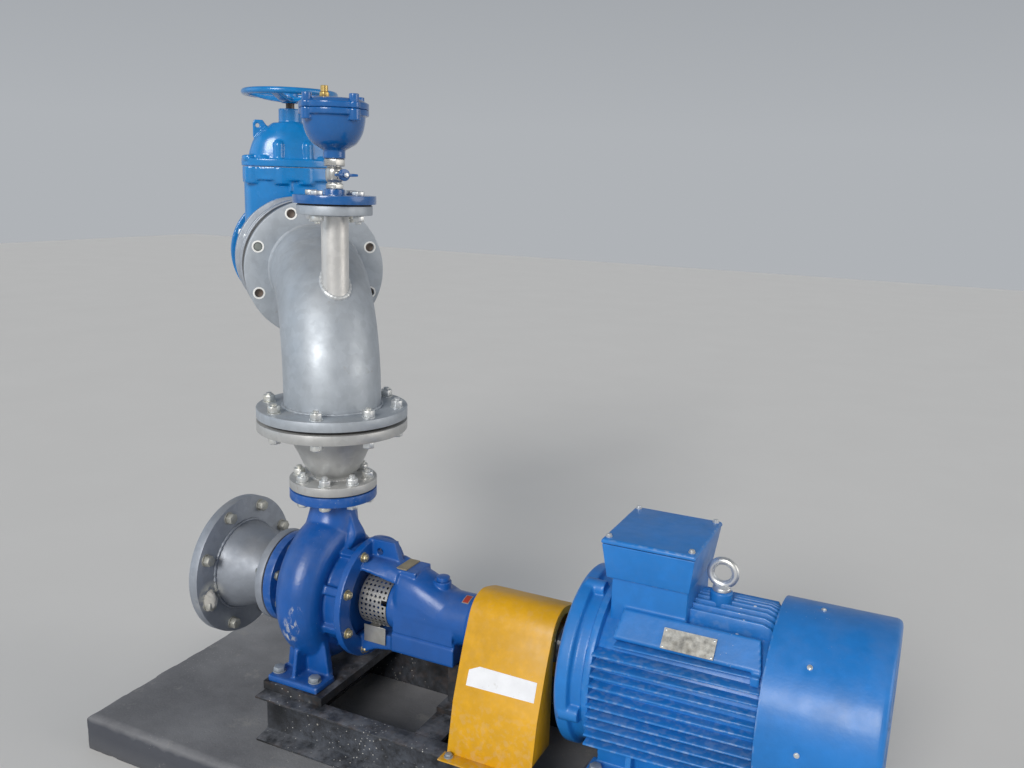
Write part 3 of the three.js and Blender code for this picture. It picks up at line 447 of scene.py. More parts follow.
def galvanised(name, colour=(0.46, 0.50, 0.56), rough=0.4, metallic=0.7, marks=()):
    """Hot-dip zinc: soft spangle, grey stains and a dull sheen."""
    g = Graph(name)
    spangle = g.node("ShaderNodeSeparateColor", {0: g.cells(70, "Color")}).outputs[0]
    base = g.mix(g.span(spangle, 0.1, 0.9), shade(colour, 0.95), shade(colour, 1.04))
    base = g.mix(g.times(g.patches(7, 6, 0.42, 0.72, 0.65), 0.45), base, shade(colour, 0.66))
    streak = g.span(g.noise(16, 5, 0.6, (1.0, 1.0, 0.18)), 0.52, 0.75)
    base = g.mix(g.times(streak, 0.3), base, shade(colour, 1.25))
    powder = g.times(g.upward(0.2, 0.95), g.patches(11, 6, 0.42, 0.7), 0.3)
    base = g.mix(powder, base, DUST)
    rust = g.times(g.patches(23, 6, 0.66, 0.74, 0.7), 0.35)
    base = g.mix(rust, base, (0.28, 0.2, 0.13))
    for x, y, z, size in marks:
        splash = g.times(g.near(x, y, z, size * 0.45, size), g.patches(60, 4, 0.4, 0.47, 0.7))
        base = g.mix(splash, base, (0.62, 0.62, 0.57))
        powder = g.most(powder, splash)
    gloss = g.span(g.noise(24, 5), 0.3, 0.7, rough - 0.08, rough + 0.12)
    gloss = g.math("ADD", gloss, g.times(powder, 0.4))
    lumps = g.bump(g.noise(48, 4, 0.5), 0.3, 0.0014)
    return g.finish(base, gloss, g.bump(g.noise(240, 3), 0.18, 0.0004, lumps), metallic=metallic)


def metal(name, colour, rough=0.3, metallic=0.9, tint=None, grime=0.12):
    """Plated or machined metal on small parts."""
    g = Graph(name)
    base = g.mix(g.patches(25, 4, 0.35, 0.7), shade(colour, 0.85), shade(colour, 1.1))
    if tint:
        base = g.mix(g.patches(11, 3, 0.45, 0.7), base, tint)
    base = g.mix(g.times(g.patches(26, 5, 0.5, 0.75), grime), base, (0.2, 0.18, 0.15))
    gloss = g.span(g.noise(60, 4), 0.3, 0.7, rough - 0.06, rough + 0.14)
    return g.finish(base, gloss, g.bump(g.noise(300, 2), 0.15, 0.0003), metallic=metallic)


def dull(name, colour, rough=0.8, relief=0.3, scale=120.0, dust=0.25):
    """Rubber, plastic, plaster and coated iron."""
    g = Graph(name)
    base = g.mix(g.patches(18, 5, 0.35, 0.7), shade(colour, 0.8), shade(colour, 1.3))
    base = g.mix(g.times(g.patches(20, 6, 0.45, 0.75, 0.7), dust), base, DUST)
    gloss = g.span(g.noise(40, 4), 0.3, 0.7, rough - 0.08, rough + 0.08)
    return g.finish(base, gloss, g.bump(g.noise(scale, 3), relief, 0.0006))


def frame_paint(name):
    """Worn black paint under cement dust and splashes."""
    g = Graph(name)
    base = g.mix(g.patches(14, 5, 0.35, 0.7), (0.012, 0.013, 0.015), (0.035, 0.036, 0.04))
    veil = g.times(g.patches(4.2, 6, 0.42, 0.68, 0.62), g.patches(55, 5, 0.32, 0.62, 0.7), 0.62)
    base = g.mix(veil, base, (0.12, 0.138, 0.175))
    settled = g.times(g.upward(0.3, 0.95), g.patches(19, 6, 0.40, 0.62, 0.7), 0.65)
    base = g.mix(settled, base, (0.185, 0.195, 0.22))
    specks = g.times(g.span(g.cells(95), 0.16, 0.09), g.patches(7.5, 3, 0.45, 0.6))
    base = g.mix(specks, base, (0.55, 0.54, 0.51))
    blots = g.times(g.span(g.cells(30), 0.12, 0.08), g.patches(6, 2, 0.55, 0.62), 0.8)
    base = g.mix(blots, base, (0.46, 0.44, 0.4))
    rust = g.times(g.worn_edge(0.52, 0.58), g.patches(40, 4, 0.5, 0.62), 0.1)
    base = g.mix(rust, base, (0.2, 0.11, 0.06))
    gloss = g.math("ADD", g.span(g.noise(33, 4), 0.3, 0.7, 0.38, 0.6), g.times(g.most(veil, settled), 0.4))
    return g.finish(base, gloss, g.bump(g.noise(110, 5, 0.6), 0.4, 0.0009))


def concrete(name):
    """Hand-trowelled top, rough sides darkened by painted shade, small pits and pale spills."""
    g = Graph(name)
    grain = g.noise(160, 6, 0.7)
    base = g.mix(g.patches(3.4, 6, 0.35, 0.68, 0.6), (0.165, 0.168, 0.180), (0.285, 0.289, 0.302))
    base = g.mix(g.times(g.span(grain, 0.45, 0.7), 0.4), base, (0.25, 0.25, 0.255))
    # Painted shade: the upright faces are darkened to a grey-blue, less so in a strip at the floor.
    side = g.span(g.axis(g.geometry.outputs["Normal"], 2), 0.75, 0.35)
    base = g.mix(g.times(side, 0.85), base, (0.050, 0.055, 0.070))
    foot = g.span(g.axis(g.place, 2), 0.05, 0.0)
    base = g.mix(g.times(side, foot, 0.4), base, (0.15, 0.15, 0.155))
    base = g.mix(g.times(g.patches(10, 6, 0.6, 0.66, 0.72), 0.55), base, (0.30, 0.295, 0.285))
    crumbs = g.times(g.span(g.cells(110), 0.17, 0.1), g.patches(6, 3, 0.52, 0.62), 0.8)
    base = g.mix(crumbs, base, (0.42, 0.41, 0.40))
    trowel = g.bump(g.noise(22, 5, 0.6), 0.4, 0.003)
    pits = g.times(g.span(g.cells(75), 0.0, 0.25), 0.5)
    skin = g.bump(g.math("ADD", grain, pits), 0.5, 0.0012, trowel)
    return g.finish(base, g.span(grain, 0.3, 0.7, 0.82, 0.96), skin, specular_ior_level=0.3)


def perforated_steel(name):
    """Bright sheet with smears outside, painted shade inside the sleeve."""
    g = Graph(name)
    base = g.mix(g.patches(20, 4, 0.35, 0.7), (0.46, 0.46, 0.44), (0.64, 0.63, 0.60))
    base = g.mix(g.times(g.patches(14, 5, 0.52, 0.66, 0.7), 0.55), base, (0.42, 0.38, 0.30))
    # Painted shade: the inside face of the sleeve, within its radius, is made near black.
    y = g.axis(g.place, 1)
    z = g.math("SUBTRACT", g.axis(g.place, 2), SHAFT_Z * MM)
    reach = g.math("SQRT", g.math("ADD", g.times(y, y), g.times(z, z)))
    base = g.mix(g.span(reach, 0.0594, 0.0591), base, (0.035, 0.03, 0.026))
    gloss = g.span(g.noise(70, 4, 0.6, (0.2, 1.0, 1.0)), 0.3, 0.7, 0.26, 0.46)
    brushed = g.bump(g.noise(160, 3, 0.5, (0.1, 1.0, 1.0)), 0.2, 0.0003)
    return g.finish(base, gloss, brushed, metallic=0.8)


def sticker(name, colour):
    """A plain blank label, a little grubby."""
    g = Graph(name)
    base = g.mix(g.patches(25, 5, 0.4, 0.75), colour, shade(colour, 0.88))
    base = g.mix(g.times(g.patches(90, 5, 0.62, 0.7, 0.7), 0.35), base, (0.5, 0.48, 0.44))
    gloss = g.span(g.noise(50), 0.3, 0.7, 0.4, 0.55)
    return g.finish(base, gloss, g.bump(g.noise(80), 0.1, 0.0004))


def blank_plate(name):
    """A worn plate with nothing on it: brushed bright metal under grime."""
    g = Graph(name)
    base = g.mix(g.patches(60, 5, 0.35, 0.65, 0.7), (0.33, 0.32, 0.29), (0.62, 0.61, 0.56))
    base = g.mix(g.times(g.patches(24, 5, 0.5, 0.7, 0.7), 0.5), base, (0.38, 0.34, 0.27))
    gloss = g.span(g.noise(60), 0.3, 0.7, 0.3, 0.55)
    return g.finish(base, gloss, g.bump(g.noise(120, 4), 0.25, 0.0005), metallic=0.6)


# Marks are worn or splashed spots: x, y, z and size
SCUFFS = [(-4, -166, 342, 22), (9, -168, 374, 26), (22, -174, 408, 18)]
PLASTER_SPOT = (-269, -131, 363, 40)
FALLEN_PAINT = (958, -40, 574, 70)

pump_blue = paint("pump_blue", (0.004, 0.088, 0.36), 0.34, 0.14, 0.4, marks=SCUFFS)
motor_blue = paint("motor_blue", (0.010, 0.18, 0.55), 0.4, 0.09, 0.3, 170, 0.3, flecks=[FALLEN_PAINT])
valve_blue = paint("valve_blue", (0.001, 0.205, 0.55), 0.22, 0.06, 0.2, 120, 0.22, 0.6)
vent_blue = paint("vent_blue", (0.002, 0.11, 0.37), 0.2, 0.05, 0.2, 140, 0.2, 0.6)
guard_amber = paint("guard_amber", (0.72, 0.37, 0.005), 0.42, 0.03, 0.25, 260, 0.12, 0.0)
zinc_coat = galvanised("galvanised")
reducer_coat = galvanised("galvanised_reducer", (0.33, 0.36, 0.41), 0.5, 0.42, [PLASTER_SPOT])
elbow_coat = galvanised("galvanised_elbow", (0.46, 0.50, 0.545), 0.5, 0.55)
# Paler, warmer zinc on the stub pipe: partly a brighter pipe, partly painted light for the highlight it
# catches.
stub_zinc_and_painted_light = galvanised("galvanised_stub", (0.72, 0.71, 0.69), 0.36, 0.6)
low_coat = galvanised("galvanised_low", (0.53, 0.535, 0.53), 0.42, 0.55)
plaster = dull("plaster", (0.46, 0.45, 0.42), 0.9, 0.5, 60.0, 0.1)
bolt_zinc = metal("bolt_zinc", (0.80, 0.82, 0.83), 0.3, 0.8, (0.74, 0.73, 0.66))
bolt_grey = metal("bolt_grey", (0.30, 0.32, 0.30), 0.45, 0.6)
bolt_dull = metal("bolt_dull", (0.33, 0.37, 0.41), 0.5, 0.35, (0.16, 0.22, 0.34))
bolt_film = metal("bolt_film", (0.46, 0.46, 0.42), 0.46, 0.55)
bolt_yellow = metal("bolt_yellow", (0.62, 0.55, 0.36), 0.34, 0.85)
weld_bright = metal("weld_bright", (0.66, 0.68, 0.69), 0.42, 0.5)
rim_white = metal("rim_white", (0.95, 0.95, 0.92), 0.5, 0.1, grime=0.05)
hole_brown = dull("hole_brown", (0.20, 0.15, 0.12), 0.7)
stem_steel = metal("stem_steel", (0.15, 0.115, 0.09), 0.42, 0.7)
bright_steel = metal("bright_steel", (0.52, 0.53, 0.54), 0.3)
brass = metal("brass", (0.66, 0.47, 0.17), 0.32, 0.85)
tag_brass = metal("tag_brass", (0.42, 0.36, 0.24), 0.5, 0.5)
nickel = metal("nickel", (0.60, 0.60, 0.58), 0.24, 0.9)
rubber = dull("rubber", (0.012, 0.012, 0.014))
check_black = dull("check_black", (0.014, 0.013, 0.016), 0.5, 0.25)
fan_plastic = dull("fan_plastic", (0.02, 0.02, 0.02), 0.6)
frame_black = frame_paint("frame_black")
plinth_concrete = concrete("concrete")
stainless = perforated_steel("stainless")
label_white = sticker("label_white", (0.86, 0.87, 0.90))
tag_red = sticker("tag_red", (0.42, 0.05, 0.03))
tag_edge = sticker("tag_edge", (0.34, 0.29, 0.26))
rating_metal = blank_plate("rating_metal")


# Fasteners and places
def hexagon(across, z, turn=0.0):
    r = across / math.sqrt(3)
    angles = [turn + math.pi * i / 3 for i in range(6)]
    return [(r * math.cos(a), r * math.sin(a), z) for a in angles]


def head(shape, place, across, height, washer=0.0, thread=0.0, turn=0.0):
    """A hexagon head or nut that stands on a face at z 0, over a washer, with a thread end above."""
    base = 0.0
    if washer:
        base = 2.4
        shape.turn(disc(0, base, washer), place @ TO_Z, 24)
    steps = ((0.93, 0), (1, 0.1), (1, 0.86), (0.9, 1))
    shape.loft([hexagon(across * wide, base + height * up, turn) for wide, up in steps], place)
    if thread:
        core = across * 0.3
        a, top = base + height, base + height + thread
        outline = [(base, core)]
        while a < top - 1.0:
            outline += [(a, core), (a + 0.9, core * 0.86)]
            a += 1.8
        shape.turn(outline + [(top, core * 0.8)], place @ TO_Z, 14)


def facing(x, y, z, direction):
    """A place whose +Z looks along the direction."""
    turn = Vector(direction).normalized().to_track_quat("Z", "Y").to_matrix().to_4x4()
    return Matrix.Translation((x, y, z)) @ turn


def circle_places(centre, axis, radius=BOLT_CIRCLE, side=Z, count=8, first=22.5):
    """Places on a bolt circle, facing along the axis. Side is the direction of angle 0."""
    n = Vector(axis).normalized()
    u = Vector(side).normalized()
    v = n.cross(u)
    out = []
    for i in range(count):
        a = math.radians(first + 360 * i / count)
        out.append(facing(*(Vector(centre) + u * radius * math.cos(a) + v * radius * math.sin(a)), n))
    return out


def on_leg(distance):
    return LEG @ Vector((distance, 0, 0))


def bolt_set(name, rows, material):
    """One joined mesh of fasteners. Each row is a list of places and the sizes of the head there."""
    shape = Shape()
    for places, across, height, washer, thread in rows:
        for i, place in enumerate(places):
            head(shape, place, across, height, washer, thread, turn=0.37 * i + across)
    piece(name, crisp(shape, 0.35, 1, 25), material, sharp=35)


def ripples(size, seed):
    """The uneven radius of a weld bead, step by step."""
    return lambda i: size * (
        1 + 0.22 * math.sin(i * 1.9 + seed) + 0.18 * noise.noise(Vector((i * 0.31, seed, 0)))
    )


def shaft_bead(shape, x, radius, size=3.4):
    """A weld bead round the shaft's line."""
    shape.tube([(x, y, z) for y, z in circle(radius, 150, (0, SHAFT_Z))], ripples(size, x))


def upright_bead(shape, z, radius, centre=(0.0, 0.0), size=3.4):
    """A weld bead round an upright pipe."""
    shape.tube([(x, y, z) for x, y in circle(radius, 150, centre)], ripples(size, z))


# Plinth and frame
def rough_block(x0, x1, y0, y1, z0, z1, voxel, lift, seed):
    """A concrete block with uneven faces and crumbled edges."""
    mesh = worked(to_mesh(Shape().box(x0, x1, y0, y1, z0, z1)), voxels(voxel))
    low, high = Vector((x0, y0, z0)) * MM, Vector((x1, y1, z1)) * MM
    middle = (low + high) / 2
    border = 0.012
    for v in mesh.vertices:
        p = Vector(v.co)
        swell = noise.fractal(p * 9 + Vector((seed, 0, 0)), 0.8, 2.1, 4)
        near = [k for k in range(3) if min(p[k] - low[k], high[k] - p[k]) < border]
        at_edge = len(near) > 1
        pull = 0.0006 + (0.0025 if at_edge else 0.0)
        chip = max(0.0, noise.noise(p * 31 + Vector((seed, 7, 3)))) * (0.006 if at_edge else 0.0)
        shift = swell * lift * MM - pull - chip
        outward = p - middle
        at_floor = p[2] < low[2] + border
        for k in near:
            if not (k == 2 and at_floor):
                p[k] += math.copysign(1, outward[k]) * min(shift, 0.0)
        v.co = p
    return mesh


def channel_profile(side, outer=212.0, flange=48.0, low=FRAME_LOW, high=FRAME_TOP, web=8.0):
    """A rolled channel: sloped flange faces and rounded toes, open side outward."""
    out = side * outer
    inner = side * (outer - flange)
    face = side * (outer - flange + web)
    toe = [(out, 5.5), (face + side * 8, 9.5), (face + side * 2, 12), (face, 17)]
    lower = [(y, low + up) for y, up in toe]
    upper = [(y, high - up) for y, up in reversed(toe)]
    return [(inner, low), (out, low)] + lower + upper + [(out, high), (inner, high)]


block = rough_block(-488, 1240, -328, 328, 0, FRAME_LOW, 9, 1.6, 3.0)
piece("plinth_block", block, plinth_concrete, "plinth", sharp=60)
for side, which in ((-1, "near"), (1, "far")):
    rail = Shape().prism(channel_profile(side), -67, 1136)
    piece(f"channel_{which}", crisp(rail, 1.6, 2, 50), frame_black, f"frame_channel_{which}")


# Pump casing
def scroll_rings(count=84, points=30, inner=84.0):
    """The volute: a round passage that grows on its way about the shaft."""
    rings = []
    for i in range(count + 1):
        share = i / count
        around = math.radians(12 + 342 * share)
        outer = 142 + 50 * share
        middle, reach = (outer + inner) / 2, (outer - inner) / 2
        half = 40 + 20 * share
        section = [(half * s, middle + reach * c) for c, s in circle(1, points)]
        rings.append([round_shaft(x, r, around) for x, r in section])
    return rings


def casing_shape():
    casing = Shape()
    front = [(-108, 0), (-108, 66), (-78, 66)] + spline([(-78, 66), (-50, 88), (-36, 112), (-20, 122)], 6)
    back = [(34, 124), (40, 130), (50, 130), (50, 116), (96.5, 116), (96.5, 0)]
    casing.turn(front + back, SHAFT)
    casing.loft(scroll_rings())
    neck = ((-30, 90, 50, 98), (-22, 120, 56, 88), (-10, 150, 58, 74), (-3, 180, 56, 60))
    neck += ((0, 205, 53, 54), (0, 232, 53, 53))
    casing.loft(smooth_rings([oval(0, y, SHAFT_Z + up, a, b) for y, up, a, b in neck], 6))
    wedge = ((100, 58, 44), (112, 66, 50), (124, 71, 42), (136, 75, 34), (151, 74, 24), (178, 60, 17))
    wedge = [(SHAFT_Z + up, x, h) for up, x, h in wedge + ((206, 50, 11),)]
    casing.loft(
        [
            [(20, -h, z), (x - 12, -h, z), (x, -0.7 * h, z), (x, 0.7 * h, z), (x - 12, h, z), (20, h, z)]
            for z, x, h in wedge
        ]
    )
    for k in range(8):
        rib = SHAFT @ Matrix.Rotation(math.radians(22.5 + 45 * k), 4, "X")
        casing.box(48, 96.5, -10, 10, 91, 127.5, rib)
    for side in (-1, 1):
        y0, y1 = mirrored(96, 116, side)
        foot = ((-51, 67, 230), (-42, 57, 300), (-36, 48, 330))
        casing.loft([[(x, y, z) for x, y in rectangle(a, b, y0, y1)] for a, b, z in foot])
        web = ((106, 230), (163, 230), (150, 298), (136, 314), (106, 326))
        casing.prism(flipped(web, side), -4, 6)
        casing.box(-61, 75, *mirrored(104, 174, side), 220, 236)
    return casing


machined = Shape().turn(ring(*PUMP_INLET, 110, 50), SHAFT)
machined.turn(ring(*PUMP_OUTLET, 100, 28), upright())
piece("casing", [cast(casing_shape(), 2.6, 7), crisp(machined, 1.6)], pump_blue, "pump_casing")


# Bearing bracket
def bridge_ring(x, foot, edge, crown):
    """A section of the top bridge: flat below and rounded over the crown."""
    arch = [edge, crown, (0, crown[1] + 1.5), (-crown[0], crown[1]), (-edge[0], edge[1])]
    return [(x, -foot[0], foot[1]), (x, foot[0], foot[1])] + [(x, y, z) for y, z in spline(arch, 5)]


def barrel_ring(x, half, knee, shoulder, crown, top):
    """A section of the bearing barrel: straight sides under an egg-shaped crown."""
    arch = [(half, knee), shoulder, crown, (0, top)]
    arch += [(-y, z) for y, z in reversed(arch[:-1])]
    return [(x, -half, SHAFT_Z), (x, half, SHAFT_Z)] + [(x, y, z) for y, z in spline(arch, 4)]


def bracket_shape():
    bracket = Shape().turn(ring(97, 114.7, 139.5, 98), SHAFT)
    bore, housing = 20, [(183, 60.5), (196, 60.5), (201, 58), (386, 58), (386, 63), (404, 63)]
    bracket.turn([(183, bore)] + housing + [(404, bore), (183, bore)], SHAFT)
    bracket.loft(
        [
            bridge_ring(97.2, (60, 488), (60, 494), (34, 503)),
            bridge_ring(132, (55, 481), (55, 488), (35, 502)),
            bridge_ring(178, (51, 471), (51, 477), (35, 500)),
            bridge_ring(204, (51, 467), (51, 473), (35, 492)),
        ]
    )
    barrel = [
        barrel_ring(198, 53, 426, (47, 456), (36, 482), 494),
        barrel_ring(214, 57.5, 430, (50, 464), (34, 486), 492),
        barrel_ring(250, 57.5, 430, (50, 460), (34, 480), 488),
        barrel_ring(289, 57.5, 416, (48, 446), (32, 464), 471),
        barrel_ring(338, 57.5, 402, (46, 429), (29, 445), 450),
    ]
    bracket.loft(smooth_rings(barrel, 5))
    lower_bridge = ((97.2, 270, 322), (150, 298, 336), (199, 306, 340))
    bracket.loft([[(x, y, z) for y, z in rectangle(-54, 54, a, b)] for x, a, b in lower_bridge])
    bracket.box(196, 206, -54, 54, 306, 390)
    bracket.box(197, 357, -59, 59, 306, 349)
    bracket.box(197, 357, -54, 54, 340, 360)
    bracket.box(201, 353, -57.5, 57.5, 354, 405)
    bracket.box(190, 245, -35, 35, 462, 495)
    bracket.turn(disc(440, 478, 19), upright(CAP_X, 0), 48)
    ear = [(97.2, 492), (97.2, 530), (107, 544), (174, 544), (188, 500), (188, 492)]
    swapped = Matrix(((0, 1, 0, 0), (1, 0, 0, 0), (0, 0, 1, 0), (0, 0, 0, 1)))
    bracket.plate_with_hole(ear, (134.5, 516), 8, -9, 9, swapped)
    return bracket


piece("bracket", cast(bracket_shape(), 2.2, 5), pump_blue, "bearing_bracket")
cap = Shape().turn(disc(478.3, 488, 15), upright(CAP_X, 0), 40)
piece("filler_cap_top", crisp(cap, 1.5), pump_blue, "filler_cap")


# Perforated sleeve with its flat tail
def sleeve_mesh(start=111.0, end=182.7, radius=60.0, hole=3.1, margin=2.0, columns=6, rows=32, sides=16):
    """A drilled tube, with one hole left out for the slot in its end."""
    shape = Shape()
    width = (end - start - 2 * margin) / columns
    step = 2 * math.pi / rows
    slot_angle, slot_half = 73, 7

    def at(x, angle):
        return round_shaft(x, radius, -angle)

    def in_slot(angle):
        return abs(math.degrees(angle) - slot_angle) < slot_half

    for c in range(columns):
        for r in range(rows):
            cx, ca = start + margin + (c + 0.5) * width, (r + 0.5) * step
            if c == columns - 1 and in_slot(ca):
                continue
            square, rounds = [], []
            for u, v in circle(1, sides):
                m = max(abs(u), abs(v))
                square.append(at(cx + width / 2 * u / m, ca + step / 2 * v / m))
                rounds.append(at(cx + hole * u, ca + hole / radius * v))
            faces = [[k, (k + 1) % sides, sides + (k + 1) % sides, sides + k] for k in range(sides)]
            shape.add(square + rounds, faces)
    for x0, x1 in ((start, start + margin), (end - margin, end)):
        for r in range(rows):
            if x1 < end or not in_slot((r + 0.5) * step):
                a, b = r * step, (r + 1) * step
                shape.add([at(x0, a), at(x1, a), at(x1, b), at(x0, b)], [[0, 1, 2, 3]])
    return sheet(shape, 1.4)


tail = Shape().box(125, 182, -58.8, -57.4, 316, 357).box(125, 150, -58.8, -19, 343.6, 345)
piece("sleeve_guard", [sleeve_mesh(), crisp(tail, 0.4, 1)], stainless, "shaft_guard")


# Suction reducer, its welds and a lump of plaster over one bolt
SUCTION_WALL = [(24, PIPE), (44, 103.5), (64, 96), (82, 88.5), (98, 81.5), (114, 74), (128, 66)]
SUCTION_WALL += [(137, 60), (145, 57)]
DISCHARGE_WALL = [(20, 45), (27, 46), (33, 52), (40, 59), (52, 66), (68, 74), (82, 80), (102, 91), (122, 101)]
WALL = 6


def suction_outline():
    inside = [(SUCTION_LENGTH, 51)] + [(a, r - WALL) for a, r in reversed(SUCTION_WALL)] + [(0, PIPE_BORE)]
    outline = [(0, PIPE_BORE), (0, FLANGE), (24, FLANGE)] + spline(SUCTION_WALL, 6)
    return moved(outline + disc(145, SUCTION_LENGTH, 110) + spline(inside, 6), SUCTION_END)


def plaster_lump():
    rings = []
    for rise, size in ((0, 1.0), (5, 1.0), (12, 0.86), (18, 0.6), (22, 0.28)):
        row = []
        for c, s in circle(1, 32):
            rough = 1 + 0.35 * noise.noise(Vector((c * 1.6, s * 1.6, 4.0)))
            rough += 0.12 * noise.noise(Vector((c * 5, s * 5, rise * 0.2)))
            spread = size * rough
            row.append((SUCTION_END + 23.5 + rise, -133 + 17 * spread * c, 352 + 27 * spread * s))
        rings.append(row)
    return Shape().loft(rings)


welds = Shape()
shaft_bead(welds, SUCTION_END + 25.5, 111)
shaft_bead(welds, SUCTION_END + 144, 59, 2.8)
reducer = crisp(Shape().turn(suction_outline(), SHAFT, 112), 1.5, 2, 40)
piece("suction_reducer_pipe", [reducer, to_mesh(welds)], reducer_coat, "suction_reducer")
piece("plaster_splash", cast(plaster_lump(), 1.8, 3), plaster)


# Discharge reducer
def discharge_outline():
    top = DISCHARGE_TOP - DISCHARGE_LOW
    inside = [(top, PIPE_BORE)] + [(a, r - WALL) for a, r in reversed(DISCHARGE_WALL)] + [(0, 39)]
    outline = [(0, 39), (0, 100), (20, 100)] + spline(DISCHARGE_WALL + [(top - 24, PIPE)], 6)
    flange = disc(top - 24, top - 2, FLANGE) + disc(top - 2, top, 134)
    return moved(outline + flange + spline(inside, 6), DISCHARGE_LOW)


welds = Shape()
upright_bead(welds, DISCHARGE_LOW + 21, 47, size=2.8)
upright_bead(welds, DISCHARGE_TOP - 25.5, 111)
reducer = crisp(Shape().turn(discharge_outline(), upright(), 112), 1.5, 2, 40)
piece("discharge_reducer_pipe", [reducer, to_mesh(welds)], low_coat, "discharge_reducer")


# Riser, bend, vent stub and leg flange
def bend_ring(angle, onward=0.0):
    """A section of the bend, at an angle of its turn from upright towards the leg."""
    along, rise = BEND * (1 - math.cos(angle)), BEND * math.sin(angle)
    out = []
    for away, side in circle(PIPE, 96):
        p = ALONG_LEG * (along - away * math.cos(angle) + onward) + ACROSS_LEG * side
        out.append((p.x, p.y, RISER_TOP + rise + away * math.sin(angle)))
    return out


def saddle_path(radius=31, count=120):
    """Where the upright stub meets the outside of the bend."""
    out = []
    for x, y in circle(radius, count, VENT):
        p = Vector((x, y, 0))
        along, side = p.dot(ALONG_LEG), p.dot(ACROSS_LEG)
        reach = BEND + math.sqrt(PIPE**2 - side**2)
        out.append((p.x, p.y, RISER_TOP + math.sqrt(reach**2 - (BEND - along) ** 2)))
    return out


def riser_meshes(bend_steps=40):
    pipe = [[(p[0], p[1], RISER_LOW - 2) for p in bend_ring(0)]]
    pipe += [bend_ring(math.pi / 2 * i / bend_steps) for i in range(bend_steps + 1)]
    pipe.append(bend_ring(math.pi / 2, 10))
    face = [(-24, 100), (-24, 134), (-22, 134), (-22, FLANGE), (0, FLANGE), (0, 100), (-24, 100)]
    flanges = Shape().turn(moved(face, RISER_LOW), upright(), 128)
    flanges.turn(ring(VENT_LOW, VENT_LOW + 20, 82.5, 20), upright(*VENT), 96)
    leg_flange = Shape().turn(ring(BEND, BEND + 24, FLANGE, 100), LEG, 128)
    holes = Shape()
    for place in circle_places(on_leg(BEND - 12), ALONG_LEG):
        holes.turn(disc(0, 60, 10.6), place @ TO_Z, 28)
    welds = Shape()
    upright_bead(welds, RISER_LOW + 1.5, 111)
    upright_bead(welds, VENT_LOW - 1, 31.5, VENT, 2.6)
    fillet = [(254, 109), (256, 109.7), (259, 111), (262.5, 115), (264, 109), (254, 109)]
    welds.turn(fillet, LEG, 128)
    drilled = cut(crisp(leg_flange, 1.5), holes)
    return [to_mesh(Shape().loft(pipe)), crisp(flanges, 1.5), drilled, to_mesh(welds)]


piece("riser_bend", riser_meshes(), elbow_coat, "riser_elbow", sharp=45)
stub = Shape().turn(disc(1040, VENT_LOW + 1, 30.2), upright(*VENT), 64)
piece("stub_pipe", to_mesh(stub), stub_zinc_and_painted_light)


def saddle_bead(i):
    return 5.0 * (1 + 0.08 * math.sin(i * 1.3) + 0.16 * noise.noise(Vector((i * 0.3, 5, 0))))


saddle_weld = Shape().tube(saddle_path(), saddle_bead)
piece("stub_weld", to_mesh(saddle_weld), weld_bright)

# The leg flange's holes stand empty but for one stud end: bright rims, brown depths
leg_holes = circle_places(on_leg(BEND), -ALONG_LEG)
STUD_HOLE = 1
rims, backs = Shape(), Shape()
for place in leg_holes:
    rims.turn(ring(-0.5, 1.3, 14.8, 10.7), place @ TO_Z, 32)
    backs.turn(disc(-14, -11, 10.5), place @ TO_Z, 28)
piece("hole_rims", crisp(rims, 0.5, 2), rim_white)
piece("hole_backs", crisp(backs, 0.4, 1), hole_brown)
thread = [(-13.5, 9.4)] + [(a / 2, 9.4 - 0.8 * (a % 2)) for a in range(-26, -3)] + [(-1.6, 8.2)]
stud_end = Shape().turn(thread, leg_holes[STUD_HOLE] @ TO_Z, 24)
piece("stud_end", to_mesh(stud_end), bolt_grey, sharp=30)

# Gaskets
GASKETS = {
    "suction": (ring(-128.3, -125.3, 108, 52), SHAFT),
    "discharge": (ring(650.3, 653.3, 94, 42), upright()),
    "riser": (ring(816.7, 819.7, 160, 106), upright()),
    "vent": (disc(1292.3, 1295.3, 80), upright(*VENT)),
}
for which, (outline, place) in GASKETS.items():
    piece(f"gasket_{which}", crisp(Shape().turn(outline, place), 0.6, 1), rubber, f"{which}_gasket")

# Leg: check valve and the two halves of the adjustable joint
front = disc(*JOINT_FRONT, FLANGE) + disc(JOINT_FRONT[1], JOINT_MIDDLE[0], 134) + disc(*JOINT_MIDDLE, 167)
rear = disc(JOINT_MIDDLE[1] + GAP, 581, 128) + disc(581, JOINT_REAR[0], 116) + disc(*JOINT_REAR, FLANGE)
for name, node, material, width, outside in (
    ("check_valve_ring", "check_valve", check_black, 2.0, disc(286.3, 385, 167)),
    ("joint_front", "adjusting_joint_front", zinc_coat, 1.5, front),
    ("joint_rear", "adjusting_joint_rear", zinc_coat, 1.5, rear),
):
    start, end = outside[0][0], outside[-1][0]
    outline = [(start, 100)] + outside + [(end, 100), (start, 100)]
    piece(name, crisp(Shape().turn(outline, LEG, 112), width), material, node)


# Gate valve
def boss(shape, u, v, rings):
    """A rounded boss in the frame of the leg: rings of height, half length along u and half width along v."""
    shape.loft([oval(u, v, z - LEG_Z, along, across, 32) for z, along, across in rings], LEG)


